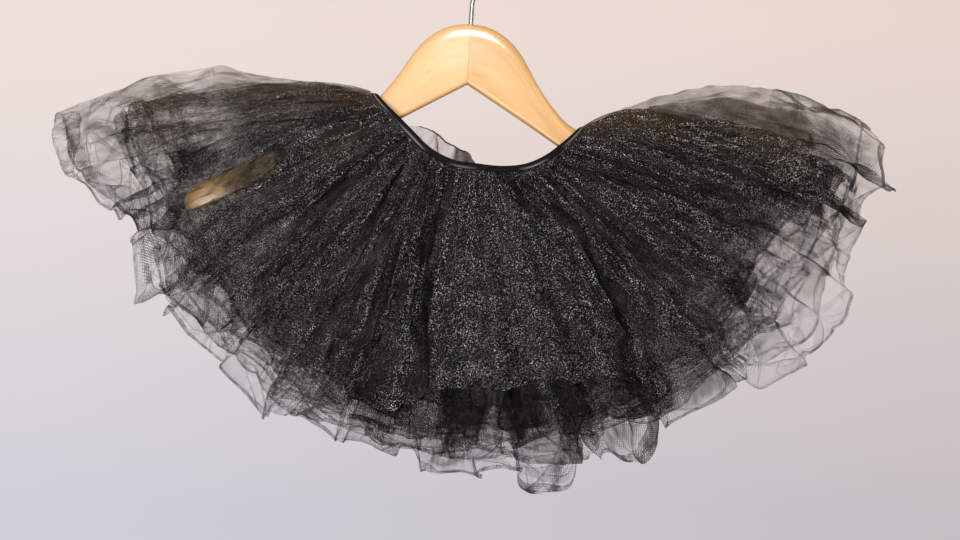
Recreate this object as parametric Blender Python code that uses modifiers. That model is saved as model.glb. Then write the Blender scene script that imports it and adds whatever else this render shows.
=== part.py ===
"""A child's ballet skirt of gathered net, hung by its waist on a wooden coat hanger.

Lengths are in millimetres until a mesh is made, then in metres. +X is to the right of
someone who faces the skirt's front, +Z is up, and the front faces -Y. The origin is the
top of the inside of the hanger's hook, the point that hangs on a rail.

The skirt is three tiers of net on one narrow waistband. Each tier is a piece of one fan
surface, which is worked out from two places: the turn round the waist, and the drop, the
distance down from the band's lower edge.
"""
import math

import bmesh
import bpy
import numpy as np

METRE = 0.001

# ---- the waist and the fan -------------------------------------------------------------
# The band's lower edge, seen from the front: it lies over both arms and sags between them.
WAIST_COLUMNS = ("across", "height")
WAIST_LINE = (
    (-86.5, -128.0),
    (-70.5, -145.5),
    (-56.0, -161.0),
    (-39.5, -177.0),
    (-20.0, -187.0),
    (2.0, -190.5),
    (24.0, -192.0),
    (44.5, -189.0),
    (62.5, -180.0),
    (75.5, -169.0),
    (90.5, -154.7),
)
FAN_LEFT = -87.0              # degrees from straight down, at the left fold
FAN_RIGHT = 86.0              # the same at the right fold
ARCH_LEFT = 22.0              # how far the left fold arches over its straight line
ARCH_RIGHT = 39.0
BAND_ARCH = 0.75              # share of the arch's slope that the band keeps
ARCH_REACH = 256.0            # drop over which the folds arch
ARCH_POWER = 4.0              # how soon the arching dies away from a fold

WAIST_HALF_DEPTH = 16.0       # front to back, from the hanger's middle plane
HEM_HALF_DEPTH = 38.0
DEPTH_GROWTH = 0.85
DEPTH_POWER_WAIST = 0.50      # squareness of the folded ring at the waist
DEPTH_POWER_HEM = 0.66        # and at the hem
DENSE_TURNS = 8001
PROBE_TURN = 0.002            # steps used to find the fan's normals
PROBE_DROP = 0.5
RING_DROP = 140.0             # drop at which the steps round a tier are of equal length

# ---- the net ---------------------------------------------------------------------------
TIER_NAMES = ("under_net", "middle_net", "top_net")      # from the inside out
NET_WALL = 1.0
RUFFLES = 32                  # waves round each tier
STEPS_IN_A_RUFFLE = 5
RUFFLE_HEM = 8.5              # half height of a wave at the hem
RUFFLE_GROWTH = 0.85
SIDE_CALM = 0.40              # share of the wave that is left at the side folds
TIER_GAP_WAIST = 1.45         # from one tier's middle surface to the next
TIER_GAP_HEM = 6.5
SEAM_GAP = 0.35
BAND_EDGE = 0.1               # the band ends this far above the fan's zero drop
ROW_SHARES = (0.0, 0.06, 0.18, 0.36, 0.57, 0.80, 1.0)

# Drop of each tier's hem along the fan: -1 is the left fold and +1 is the right fold.
HEM_COLUMNS = ("fan_place", "top_net", "middle_net", "under_net")
HEM_DROPS = (
    (-1.00, 190.0, 214.0, 254.0),
    (-0.92, 184.0, 214.0, 257.0),
    (-0.83, 192.0, 208.0, 240.0),
    (-0.75, 202.0, 213.0, 224.0),
    (-0.67, 194.0, 211.0, 242.0),
    (-0.50, 200.0, 210.0, 235.0),
    (-0.33, 198.0, 218.0, 237.0),
    (-0.17, 188.0, 222.0, 232.0),
    (0.00, 178.0, 220.0, 241.0),
    (0.08, 177.0, 221.0, 238.0),
    (0.15, 177.0, 223.0, 258.0),
    (0.20, 178.0, 223.0, 258.0),
    (0.26, 181.0, 221.0, 234.0),
    (0.31, 190.0, 221.0, 248.0),
    (0.42, 206.0, 221.0, 230.0),
    (0.50, 210.0, 220.0, 234.0),
    (0.67, 200.0, 222.0, 262.0),
    (0.75, 192.0, 221.0, 251.0),
    (0.83, 202.0, 219.0, 239.0),
    (1.00, 198.0, 216.0, 244.0),
)
HEM_SCALLOP = 3.5             # how far a wave's crest drops below its trough
BACK_TOP_DROP = 204.0         # the top tier's hem at the middle of the back
BACK_TOP_CURVE = 14.0

# The largest folds, which all three tiers share: a trough is below 0, a ridge is above it.
FOLD_COLUMNS = ("side", "place_at_waist", "place_at_hem", "half_width", "rise")
FRONT = -1
BACK = 1
FOLDS = (
    (FRONT, -0.62, -0.60, 0.045, -5.0),
    (FRONT, -0.42, -0.36, 0.050, -6.0),
    (FRONT, -0.28, -0.25, 0.040, 4.0),
    (FRONT, -0.15, -0.10, 0.045, -7.0),
    (FRONT, 0.20, 0.34, 0.040, -8.0),
    (FRONT, 0.45, 0.47, 0.045, 4.0),
    (FRONT, 0.58, 0.63, 0.050, -6.0),
    (BACK, -0.52, -0.47, 0.050, -6.0),
    (BACK, -0.05, -0.02, 0.050, -6.0),
    (BACK, 0.13, 0.16, 0.040, 4.0),
    (BACK, 0.30, 0.36, 0.050, -7.0),
    (BACK, 0.62, 0.66, 0.045, -5.0),
)
FOLD_FULL_DROP = 110.0        # drop by which a fold has its full depth

# The domed middle panel of the front's top tier.
DOME_PLACE = 0.09
DOME_HALF_WIDTH = 0.27
DOME_HEIGHT = 8.0
DOME_DROP = 135.0
DOME_LIP = 5.0                # its hem turns out by this much

# ---- the waistband and the net's heading -------------------------------------------------
BAND_WIDTH = 6.0
BAND_THICK = 2.6
BAND_STEPS = 96

HEADING_COLUMNS = ("fan_place", "height")
HEADING_HEIGHTS = (
    (-0.66, 2.0),
    (-0.60, 7.0),
    (-0.50, 12.0),
    (-0.40, 14.0),
    (-0.28, 12.0),
    (-0.18, 10.0),
    (-0.10, 12.0),
    (-0.02, 10.0),
    (0.03, 3.0),
)
HEADING_STEPS = 22
HEADING_FOLD = 2.2            # its little folds stand out by this much, radians a step below
HEADING_WAVE = 1.3

# ---- the hanger --------------------------------------------------------------------------
HANGER_TILT = 3.5             # degrees, its right arm lower
HANGER_TOP = -69.5            # the wood's top, below the hook
HANGER_THICK = 12.0
HANGER_ROUND = 4.5
HANGER_JOINT = 0.3            # glue line between the two halves
# Half outline of the wood, from the middle out to the tip: out, and down from the top.
HANGER_COLUMNS = ("out", "down")
HANGER_UPPER = (
    (0.0, 0.0),
    (13.0, 1.5),
    (24.5, 6.2),
    (35.0, 14.0),
    (43.0, 23.0),
    (49.5, 33.0),
    (55.5, 43.0),
    (63.5, 54.5),
    (72.5, 65.5),
    (82.0, 75.0),
    (94.0, 82.5),
    (130.0, 100.5),
    (175.0, 123.0),
    (212.0, 141.5),
)
HANGER_TIP = (
    (221.0, 148.0),
    (225.0, 158.0),
    (222.0, 166.0),
)
HANGER_LOWER = (
    (210.0, 162.5),
    (175.0, 145.0),
    (130.0, 122.5),
    (82.0, 98.0),
    (53.0, 80.5),
    (0.0, 49.2),
)
UPPER_STEPS = 26
LOWER_STEPS = 12

# ---- the hook ----------------------------------------------------------------------------
WIRE = 3.8
HOOK_INSIDE = 40.0
HOOK_START = -52.0            # degrees round the hook's middle, from +X
HOOK_END = 205.0
HOOK_SHANK_TOP = -55.0
HOOK_DEPTH_IN_WOOD = 26.0
BORE_ROOM = 0.3               # all round the shank, and below it
HOOK_STEPS = 20
BEND_STEPS = 7

# ---- colours -----------------------------------------------------------------------------
COLLECTION = "ballet_skirt"
WOOD_COLOUR = (0.78, 0.52, 0.26)
WIRE_COLOUR = (0.62, 0.62, 0.60)
BAND_COLOUR = (0.012, 0.012, 0.012)
NET_COLOURS = ((0.065, 0.060, 0.058), (0.045, 0.042, 0.040), (0.030, 0.028, 0.027))


def column(rows, names, name):
    """One named column of a table."""
    return np.array([row[names.index(name)] for row in rows])


def smooth_table(places, values, at):
    """Values of a table at the places asked for, on a smooth curve through its rows."""
    places = np.asarray(places, float)
    values = np.asarray(values, float)
    slopes = np.gradient(values, places)
    cell = np.clip(np.searchsorted(places, at, side="right") - 1, 0, len(places) - 2)
    width = places[cell + 1] - places[cell]
    part = np.clip((at - places[cell]) / width, 0.0, 1.0)
    rise = values[cell + 1] - values[cell]
    first = slopes[cell] * width
    last = slopes[cell + 1] * width
    return (values[cell] + part * first + part ** 2 * (3 * rise - 2 * first - last)
            + part ** 3 * (first + last - 2 * rise))


def eased(value):
    """0 below 0 and 1 above 1, with an even rise between."""
    part = np.clip(value, 0.0, 1.0)
    return part * part * (3.0 - 2.0 * part)


def waist_point(place):
    """Across and height of the band's lower edge, at a place along the fan."""
    across = column(WAIST_LINE, WAIST_COLUMNS, "across")
    height = column(WAIST_LINE, WAIST_COLUMNS, "height")
    along = np.concatenate(([0.0], np.cumsum(np.hypot(np.diff(across), np.diff(height)))))
    stations = 2.0 * along / along[-1] - 1.0
    return smooth_table(stations, across, place), smooth_table(stations, height, place)


def fan_surface(turn, drop):
    """Points of the skirt's smooth fan. Turn 0 is the right fold, and the back comes next."""
    place = np.cos(turn)
    across, height = waist_point(place)
    lean = np.radians((FAN_LEFT + FAN_RIGHT) / 2 + place * (FAN_RIGHT - FAN_LEFT) / 2)
    arch = np.where(place < 0, -ARCH_LEFT, ARCH_RIGHT) * np.abs(place) ** ARCH_POWER
    share = drop / ARCH_REACH
    lift = 4.0 * share * (1.0 - share) * arch * np.where(drop < 0.0, BAND_ARCH, 1.0)
    across = across + drop * np.sin(lean) + lift * np.cos(lean)
    height = height - drop * np.cos(lean) + lift * np.sin(lean)
    opened = np.clip(share, 0.0, 1.0) ** DEPTH_GROWTH
    depth = WAIST_HALF_DEPTH + (HEM_HALF_DEPTH - WAIST_HALF_DEPTH) * opened
    power = DEPTH_POWER_WAIST + (DEPTH_POWER_HEM - DEPTH_POWER_WAIST) * opened
    swing = np.sin(turn)
    return np.stack((across, np.sign(swing) * depth * np.abs(swing) ** power, height), axis=-1)


def fan_normal(turn, drop):
    """Unit normals of the fan, pointing out of the skirt."""
    round_it = fan_surface(turn + PROBE_TURN, drop) - fan_surface(turn - PROBE_TURN, drop)
    down_it = fan_surface(turn, drop + PROBE_DROP) - fan_surface(turn, drop - PROBE_DROP)
    normal = np.cross(down_it, round_it)
    return normal / np.linalg.norm(normal, axis=-1, keepdims=True)


def even_turns(count, drop):
    """Turns that part the fan's ring at one drop into equal lengths."""
    dense = np.linspace(0.0, 2.0 * math.pi, DENSE_TURNS)
    steps = np.diff(fan_surface(dense, np.full(DENSE_TURNS, drop)), axis=0)
    along = np.concatenate(([0.0], np.cumsum(np.linalg.norm(steps, axis=1))))
    return np.interp(np.arange(count) * along[-1] / count, along, dense)


def hem_drop(turn, tier):
    """Drop of a tier's hem, without its scallops; the front is as the table says."""
    place = np.cos(turn)
    stations = column(HEM_DROPS, HEM_COLUMNS, "fan_place")
    front = smooth_table(stations, column(HEM_DROPS, HEM_COLUMNS, tier), place)
    if tier != "top_net":
        return front
    back = np.maximum(front, BACK_TOP_DROP - BACK_TOP_CURVE * place ** 2)
    return np.where(np.sin(turn) > 0.0, back, front)


def ruffle(step, grown):
    """Wave height from -1 to 1 round a tier, uneven in height and spacing, leaning as it grows."""
    phase = RUFFLES * step + 1.3 * np.sin(3.0 * step + 0.7) + 0.8 * np.sin(7.0 * step + 2.1)
    phase = phase + grown * np.sin(2.0 * step + 1.3)
    strength = 0.76 + 0.16 * np.sin(5.0 * step + 1.0) + 0.12 * np.sin(11.0 * step)
    return strength * np.sin(phase)


def folds(turn, grown, drop):
    """Rise of the largest folds: each is a soft trough or ridge along its own line."""
    place = np.cos(turn)
    rise = np.zeros(drop.shape)
    for side, at_waist, at_hem, half_width, height in FOLDS:
        centre = at_waist + (at_hem - at_waist) * grown
        shape = np.exp(-((place - centre) / half_width) ** 2)
        on_side = eased(side * np.sin(turn) * 4.0)
        rise = rise + height * shape * on_side * eased(drop / FOLD_FULL_DROP)
    return rise


def net_tier(name, layer, material):
    """One tier of gathered net: rings from its seam to its hem, waved along the fan's normal."""
    count = RUFFLES * STEPS_IN_A_RUFFLE
    step = (np.arange(count) / count * 2.0 * math.pi)[None, :]
    turn = even_turns(count, RING_DROP)[None, :]
    hem = hem_drop(turn, name) + HEM_SCALLOP * ruffle(step, 1.0)
    share = np.array(ROW_SHARES)[:, None]
    drop = SEAM_GAP + share * (hem - SEAM_GAP)
    turn = np.broadcast_to(turn, drop.shape)
    grown = np.clip(drop / ARCH_REACH, 0.0, 1.0)
    calm = SIDE_CALM + (1.0 - SIDE_CALM) * np.sin(turn) ** 2
    out = layer * (TIER_GAP_WAIST + (TIER_GAP_HEM - TIER_GAP_WAIST) * grown)
    out = out + RUFFLE_HEM * grown ** RUFFLE_GROWTH * calm * ruffle(step, grown)
    out = out + folds(turn, grown, drop)
    if name == "top_net":
        out = out + dome(turn, drop, share)
    points = fan_surface(turn, drop) + fan_normal(turn, drop) * out[..., None]
    return cloth_wall(name, points, True, NET_WALL, material)


def dome(turn, drop, share):
    """How far the front's middle panel stands out, and its hem's lip."""
    front = eased(-np.sin(turn) * 4.0)
    across = np.clip(np.abs(np.cos(turn) - DOME_PLACE) / DOME_HALF_WIDTH, 0.0, 1.0)
    panel = (1.0 - across ** 2) ** 2
    swell = DOME_HEIGHT * np.exp(-((drop - DOME_DROP) / (0.5 * DOME_DROP)) ** 2) * eased(drop / 60.0)
    return front * panel * (swell + DOME_LIP * eased((share - 0.76) / 0.24))


def cloth_wall(name, points, closed, thick, material):
    """A wall of even thickness about rings of points, given in millimetres."""
    rows, columns = points.shape[:2]
    mesh = bpy.data.meshes.new(name)
    index = np.arange(rows * columns).reshape(rows, columns)
    if closed:
        index = np.concatenate((index, index[:, :1]), axis=1)
    corners = (index[:-1, :-1], index[1:, :-1], index[1:, 1:], index[:-1, 1:])
    faces = np.stack([corner.ravel() for corner in corners], axis=1)
    mesh.from_pydata((points.reshape(-1, 3) * METRE).tolist(), [], faces.tolist())
    mesh.shade_smooth()
    wall = place_object(name, mesh, material)
    thicken = wall.modifiers.new("Wall", "SOLIDIFY")
    thicken.thickness = thick * METRE
    thicken.offset = 0.0
    thicken.use_rim = True
    return wall


def waistband(material):
    """The elastic band, as thick as the three tiers that are sewn to its lower edge."""
    turn = even_turns(BAND_STEPS, 0.0)[None, :]
    drop = np.array((-BAND_WIDTH - BAND_EDGE, -BAND_EDGE))[:, None]
    turn, drop = np.broadcast_arrays(turn, drop)
    points = fan_surface(turn, drop) + fan_normal(turn, drop) * TIER_GAP_WAIST
    return cloth_wall("waistband", points, True, BAND_THICK, material)


def net_heading(material):
    """The scrap of the net's heading that stands up from the back of the band."""
    stations = column(HEADING_HEIGHTS, HEADING_COLUMNS, "fan_place")
    heights = column(HEADING_HEIGHTS, HEADING_COLUMNS, "height")
    place = np.linspace(stations[0], stations[-1], HEADING_STEPS)[None, :]
    height = smooth_table(stations, heights, place)
    share = np.array((0.0, 0.5, 1.0))[:, None]
    drop = -BAND_WIDTH - BAND_EDGE - SEAM_GAP - share * height
    turn = np.broadcast_to(np.arccos(place), drop.shape)
    step = np.arange(HEADING_STEPS)[None, :]
    out = TIER_GAP_WAIST + HEADING_FOLD * share * np.sin(step * HEADING_WAVE)
    points = fan_surface(turn, drop) + fan_normal(turn, drop) * out[..., None]
    return cloth_wall("net_heading", points, False, NET_WALL, material)


def smooth_path(rows, count):
    """Points evenly along a smooth curve through the rows of the hanger's outline."""
    out = column(rows, HANGER_COLUMNS, "out")
    down = column(rows, HANGER_COLUMNS, "down")
    along = np.concatenate(([0.0], np.cumsum(np.hypot(np.diff(out), np.diff(down)))))
    at = np.linspace(0.0, along[-1], count)
    return np.stack((smooth_table(along, out, at), smooth_table(along, down, at)), axis=1)


def hanger_arm(name, side, hang, material):
    """One half of the wood, a flat board cut to the outline, with its outer edges rounded."""
    upper = smooth_path(HANGER_UPPER, UPPER_STEPS)
    lower = smooth_path(HANGER_LOWER, LOWER_STEPS)
    outline = np.concatenate((upper, np.array(HANGER_TIP), lower))
    outline[:, 0] = np.maximum(outline[:, 0], HANGER_JOINT / 2)
    curve = bpy.data.curves.new(name, "CURVE")
    curve.dimensions = "2D"
    curve.fill_mode = "BOTH"
    curve.extrude = HANGER_THICK / 2 * METRE
    spline = curve.splines.new("POLY")
    spline.points.add(len(outline) - 1)
    for point, (out, down) in zip(spline.points, outline):
        point.co = (side * out * METRE, (HANGER_TOP - down) * METRE, 0.0, 1.0)
    spline.use_cyclic_u = True
    pattern = bpy.data.objects.new(name + "_pattern", curve)
    pattern.rotation_euler = (math.pi / 2, 0.0, 0.0)
    bpy.context.scene.collection.objects.link(pattern)
    graph = bpy.context.evaluated_depsgraph_get()
    mesh = bpy.data.meshes.new_from_object(pattern.evaluated_get(graph))
    bpy.data.objects.remove(pattern)
    mark_rounded_edges(mesh, side)
    arm = place_object(name, mesh, material)
    arm.rotation_euler = (math.pi / 2, 0.0, 0.0)
    arm.parent = hang
    rounding = arm.modifiers.new("Rounding", "BEVEL")
    rounding.limit_method = "WEIGHT"
    rounding.width = HANGER_ROUND * METRE
    rounding.segments = 3
    bore = arm.modifiers.new("Bore", "BOOLEAN")
    bore.operation = "DIFFERENCE"
    bore.solver = "EXACT"
    bore.object = bpy.data.objects["bore_cutter"]
    return arm


def mark_rounded_edges(mesh, side):
    """Weld a board's caps and give its outline a bevel weight, but not its joint face."""
    board = bmesh.new()
    board.from_mesh(mesh)
    bmesh.ops.remove_doubles(board, verts=board.verts, dist=0.00001)
    bmesh.ops.dissolve_limit(board, angle_limit=0.001, verts=board.verts, edges=board.edges)
    weight = board.edges.layers.float.new("bevel_weight_edge")
    joint = 0.6 * HANGER_JOINT * METRE
    for edge in board.edges:
        first, last = edge.verts
        on_joint = side * first.co.x < joint and side * last.co.x < joint
        along_outline = abs(first.co.z - last.co.z) < 0.00001
        edge[weight] = 1.0 if along_outline and not on_joint else 0.0
    board.to_mesh(mesh)
    board.free()


def bore_cutter(hang, cutters):
    """The drilled hole for the hook's shank, taken out of both halves of the wood."""
    length = HOOK_DEPTH_IN_WOOD + 10.0
    cutter_mesh = bpy.data.meshes.new("bore_cutter")
    drill = bmesh.new()
    radius = (WIRE / 2 + BORE_ROOM) * METRE
    bmesh.ops.create_cone(drill, cap_ends=True, segments=20, radius1=radius, radius2=radius,
                          depth=length * METRE)
    drill.to_mesh(cutter_mesh)
    drill.free()
    cutter = bpy.data.objects.new("bore_cutter", cutter_mesh)
    cutter.location = (0.0, 0.0, (HANGER_TOP - HOOK_DEPTH_IN_WOOD + length / 2) * METRE)
    cutter.parent = hang
    cutter.hide_render = True
    cutter.display_type = "WIRE"
    cutters.objects.link(cutter)
    return cutter


def hanger_hook(hang, material):
    """The wire hook: a shank in the wood, a bend to one side, and a round hook over the rail."""
    radius = (HOOK_INSIDE + WIRE) / 2
    middle = -HOOK_INSIDE / 2
    foot = HANGER_TOP - HOOK_DEPTH_IN_WOOD + BORE_ROOM
    angles = np.radians(np.linspace(HOOK_START, HOOK_END, HOOK_STEPS))
    round_part = np.stack((radius * np.cos(angles), middle + radius * np.sin(angles)), axis=1)
    start = np.array((0.0, HOOK_SHANK_TOP))
    heading = np.array((-math.sin(angles[0]), math.cos(angles[0])))
    pull = 0.5 * np.linalg.norm(round_part[0] - start)
    share = np.linspace(0.0, 1.0, BEND_STEPS)[:-1, None]
    controls = (start, start + (0.0, pull), round_part[0] - pull * heading, round_part[0])
    weights = ((1 - share) ** 3, 3 * share * (1 - share) ** 2, 3 * share ** 2 * (1 - share), share ** 3)
    bend = sum(weight * control for weight, control in zip(weights, controls))
    route = np.concatenate((((0.0, foot),), bend, round_part))
    curve = bpy.data.curves.new("hanger_hook", "CURVE")
    curve.dimensions = "3D"
    curve.bevel_depth = WIRE / 2 * METRE
    curve.bevel_resolution = 3
    curve.use_fill_caps = True
    spline = curve.splines.new("POLY")
    spline.points.add(len(route) - 1)
    for point, (across, height) in zip(spline.points, route):
        point.co = (across * METRE, 0.0, height * METRE, 1.0)
    hook = place_object("hanger_hook", curve, material)
    hook.parent = hang
    return hook


def plain_material(name, colour, roughness, metallic):
    """A Principled material of one colour."""
    material = bpy.data.materials.new(name)
    material.use_nodes = True
    shader = material.node_tree.nodes["Principled BSDF"]
    shader.inputs["Base Color"].default_value = (*colour, 1.0)
    shader.inputs["Roughness"].default_value = roughness
    shader.inputs["Metallic"].default_value = metallic
    return material


def place_object(name, data, material):
    """An object of the skirt's collection, with its material."""
    thing = bpy.data.objects.new(name, data)
    data.materials.append(material)
    bpy.data.collections[COLLECTION].objects.link(thing)
    return thing


def build():
    """Clear the scene and model the skirt and its hanger."""
    for thing in list(bpy.data.objects):
        bpy.data.objects.remove(thing)
    model = bpy.data.collections.new(COLLECTION)
    cutters = bpy.data.collections.new("cutters")
    bpy.context.scene.collection.children.link(model)
    bpy.context.scene.collection.children.link(cutters)
    hang = bpy.data.objects.new("hanger_hang", None)
    hang.rotation_euler = (0.0, math.radians(HANGER_TILT), 0.0)
    model.objects.link(hang)

    bore_cutter(hang, cutters)
    for name, side in (("hanger_arm_left", -1), ("hanger_arm_right", 1)):
        hanger_arm(name, side, hang, plain_material(name, WOOD_COLOUR, 0.35, 0.0))
    hanger_hook(hang, plain_material("hook_wire", WIRE_COLOUR, 0.3, 1.0))
    waistband(plain_material("waistband", BAND_COLOUR, 0.8, 0.0))
    for layer, name in enumerate(TIER_NAMES):
        net_tier(name, layer, plain_material(name, NET_COLOURS[layer], 0.7, 0.0))
    net_heading(plain_material("net_heading", NET_COLOURS[0], 0.7, 0.0))


build()
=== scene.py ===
"""A child's ballet skirt of black gathered net, hung by its waist on a wooden coat hanger.

Lengths are in millimetres until a mesh is made, then in metres. +X is to the right of
someone who faces the skirt's front, +Z is up, and the front faces -Y.

Every tier of net is one surface of two parameters: the turn round the waist, and the drop,
which is the distance down from the band's lower edge.
"""
from __future__ import annotations

import logging
import math
from dataclasses import dataclass, field
from enum import Enum

import bpy
import numpy as np
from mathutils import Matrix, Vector


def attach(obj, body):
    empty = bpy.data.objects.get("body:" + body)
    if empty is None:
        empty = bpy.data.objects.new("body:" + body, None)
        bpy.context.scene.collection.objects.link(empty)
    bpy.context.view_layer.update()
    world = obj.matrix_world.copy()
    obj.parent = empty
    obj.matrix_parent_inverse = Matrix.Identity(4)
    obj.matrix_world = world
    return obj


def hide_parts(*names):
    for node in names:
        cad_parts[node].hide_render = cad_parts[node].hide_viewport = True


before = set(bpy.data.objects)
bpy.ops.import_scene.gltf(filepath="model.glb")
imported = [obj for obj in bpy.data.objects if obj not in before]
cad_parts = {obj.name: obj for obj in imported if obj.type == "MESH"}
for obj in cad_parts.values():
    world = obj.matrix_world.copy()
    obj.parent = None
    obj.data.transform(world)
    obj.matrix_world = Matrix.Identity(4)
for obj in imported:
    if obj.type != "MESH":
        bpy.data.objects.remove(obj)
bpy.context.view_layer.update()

METRE = 0.001
TURN = 2.0 * math.pi
LOG = logging.getLogger("ballet_skirt")

Array = np.ndarray
Rows = tuple[tuple[float, ...], ...]
Triple = tuple[float, float, float]
Material = bpy.types.Material
NodeTree = bpy.types.NodeTree
Socket = bpy.types.NodeSocket
Thing = bpy.types.Object
Value = float | tuple | Socket


# ---- curves, noise and grids --------------------------------------------------------------
def smooth_table(places: Array, values: Array, at: Array) -> Array:
    """Values on a smooth curve through a table's rows.

    Each stretch is the cubic that meets both rows and the mean slopes there.

    Args:
        places: where the rows stand, rising.
        values: their values.
        at: the places asked for.

    Returns:
        One value for each place asked for, held beyond the table's ends.
    """
    places = np.asarray(places, float)
    values = np.asarray(values, float)
    slopes = np.gradient(values, places)
    cell = np.clip(np.searchsorted(places, at, side="right") - 1, 0, len(places) - 2)
    width = places[cell + 1] - places[cell]
    part = np.clip((at - places[cell]) / width, 0.0, 1.0)
    rise = values[cell + 1] - values[cell]
    first = slopes[cell] * width
    last = slopes[cell + 1] * width
    return (values[cell] + part * first + part**2 * (3 * rise - 2 * first - last)
            + part**3 * (first + last - 2 * rise))


def eased(value: Array) -> Array:
    """0 below 0 and 1 above 1, with an even rise between: 3t^2 - 2t^3."""
    part = np.clip(value, 0.0, 1.0)
    return part * part * (3.0 - 2.0 * part)


def drift(seed: int, cells_round: int, cells_down: int, u: Array,
          v: Array | float = 0.0) -> Array:
    """Smooth noise from about -1 to 1 that repeats once round.

    Every corner of a lattice has a random slope; a point takes the rises of the four slopes
    round it, blended by 6t^5 - 15t^4 + 10t^3 each way.

    Args:
        seed: of the slopes.
        cells_round: lattice cells in one turn.
        cells_down: lattice cells from v = 0 to v = 1.
        u: share of the way round.
        v: share of the way down.

    Returns:
        The noise at each point.
    """
    draw = np.random.default_rng(seed)
    angle = draw.uniform(0.0, TURN, (cells_down + 3, cells_round))
    slope_x, slope_y = np.cos(angle), np.sin(angle)
    x = np.mod(u, 1.0) * cells_round
    y = np.clip(v, 0.0, 1.0) * cells_down
    x0, y0 = np.floor(x).astype(int), np.floor(y).astype(int)
    part_x, part_y = x - x0, y - y0

    def corner(right: int, down: int) -> Array:
        """Rise of one corner's slope."""
        row, column = y0 + down, (x0 + right) % cells_round
        return slope_x[row, column] * (part_x - right) + slope_y[row, column] * (part_y - down)

    blend_x = part_x**3 * (part_x * (part_x * 6.0 - 15.0) + 10.0)
    blend_y = part_y**3 * (part_y * (part_y * 6.0 - 15.0) + 10.0)
    upper = corner(0, 0) + (corner(1, 0) - corner(0, 0)) * blend_x
    lower = corner(0, 1) + (corner(1, 1) - corner(0, 1)) * blend_x
    return 1.5 * (upper + (lower - upper) * blend_y)


def creased(value: Array) -> Array:
    """Noise folded along its zero lines into sharp valleys, about -1 to 1."""
    return 2.4 * np.abs(value) - 0.75


def bell(away: Array, power: int = 2) -> Array:
    """1 at 0, easing off on both sides: e to the power -|away|^power."""
    return np.exp(-np.abs(away)**power)


def powered(value: Array, power: Array | float) -> Array:
    """A power that keeps the value's sign."""
    return np.sign(value) * np.abs(value)**power


def summed(steps: Array) -> Array:
    """Running total of some steps, from 0."""
    return np.concatenate(([0.0], np.cumsum(steps)))


def lengths(path: Array) -> Array:
    """Length of a path up to each of its points."""
    return summed(np.linalg.norm(np.diff(path, axis=0), axis=1))


def ring_angles(count: int) -> Array:
    """Angles that part a full turn evenly."""
    return np.arange(count) / count * TURN


def unit(vectors: Array) -> Array:
    """Vectors of length 1."""
    return vectors / np.maximum(np.linalg.norm(vectors, axis=-1, keepdims=True), 1e-9)


def grid_normals(points: Array, closed: bool) -> Array:
    """Unit normals of a grid: the cross of its steps down and its steps along."""
    if closed:
        wide = np.concatenate((points[:, -1:], points, points[:, :1]), axis=1)
        along = wide[:, 2:] - wide[:, :-2]
    else:
        along = np.gradient(points, axis=1)
    return unit(np.cross(np.gradient(points, axis=0), along))


def steepness(own: Array, smooth: Array, least: float) -> Array:
    """How many times thicker a sheet looks from outside where its own normal leans away."""
    return 1.0 / np.maximum(np.abs((own * smooth).sum(axis=-1)), least)


def quads(grid: Array) -> tuple[Array, Array, Array, Array]:
    """The four corners of every cell of a grid."""
    return grid[:-1, :-1], grid[1:, :-1], grid[1:, 1:], grid[:-1, 1:]


def grid_object(name: str, points: Array, cloth: Array, closed: bool, finish: Material,
                layers: dict[str, Array] | None = None, caps: bool = False) -> Thing:
    """A smooth mesh over a grid of points, with its cloth map in real metres.

    Args:
        name: of the piece.
        points: rows x columns x 3, in millimetres.
        cloth: rows x columns x 2 flat places in millimetres; a closed grid has one column more.
        closed: whether the last column joins the first.
        finish: its material.
        layers: values at the points, by attribute name.
        caps: whether the first and last rows are filled.

    Returns:
        The new object, riding on the root.
    """
    rows, columns = points.shape[:2]
    index = np.arange(rows * columns).reshape(rows, columns)
    if closed:
        index = np.concatenate((index, index[:, :1]), axis=1)
    faces = np.stack([corner.ravel() for corner in quads(index)], axis=1)
    uv = np.stack([corner.reshape(-1, 2) for corner in quads(cloth)], axis=1).reshape(-1, 2)
    loops = faces.ravel()
    starts = np.arange(len(faces)) * 4
    if caps:
        starts = np.concatenate((starts, [len(loops), len(loops) + columns]))
        loops = np.concatenate((loops, index[0, :columns], index[-1, :columns][::-1]))
        uv = np.concatenate((uv, cloth[0, :columns], cloth[-1, :columns][::-1]))
    mesh = bpy.data.meshes.new(name)
    mesh.vertices.add(rows * columns)
    mesh.vertices.foreach_set("co", (points.reshape(-1) * METRE).astype(np.float32))
    mesh.loops.add(len(loops))
    mesh.loops.foreach_set("vertex_index", loops.astype(np.int32))
    mesh.polygons.add(len(starts))
    mesh.polygons.foreach_set("loop_start", starts.astype(np.int32))
    flat = mesh.uv_layers.new(name="cloth").data
    flat.foreach_set("uv", (uv * METRE).astype(np.float32).ravel())
    for layer, values in (layers or {}).items():
        values = np.broadcast_to(values, (rows, columns)).astype(np.float32)
        mesh.attributes.new(layer, "FLOAT", "POINT").data.foreach_set("value", values.ravel())
    mesh.update(calc_edges=True)
    mesh.validate()
    mesh.shade_smooth()
    mesh.materials.append(finish)
    thing = bpy.data.objects.new(name, mesh)
    bpy.context.scene.collection.objects.link(thing)
    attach(thing, "root")
    return thing


def stand_in(piece: Thing, node: str, slot: str) -> Thing:
    """Put a piece in place of its solid, and report it."""
    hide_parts(node)
    LOG.info("%s: %d faces", piece.name, len(piece.data.polygons))
    return piece


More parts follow.
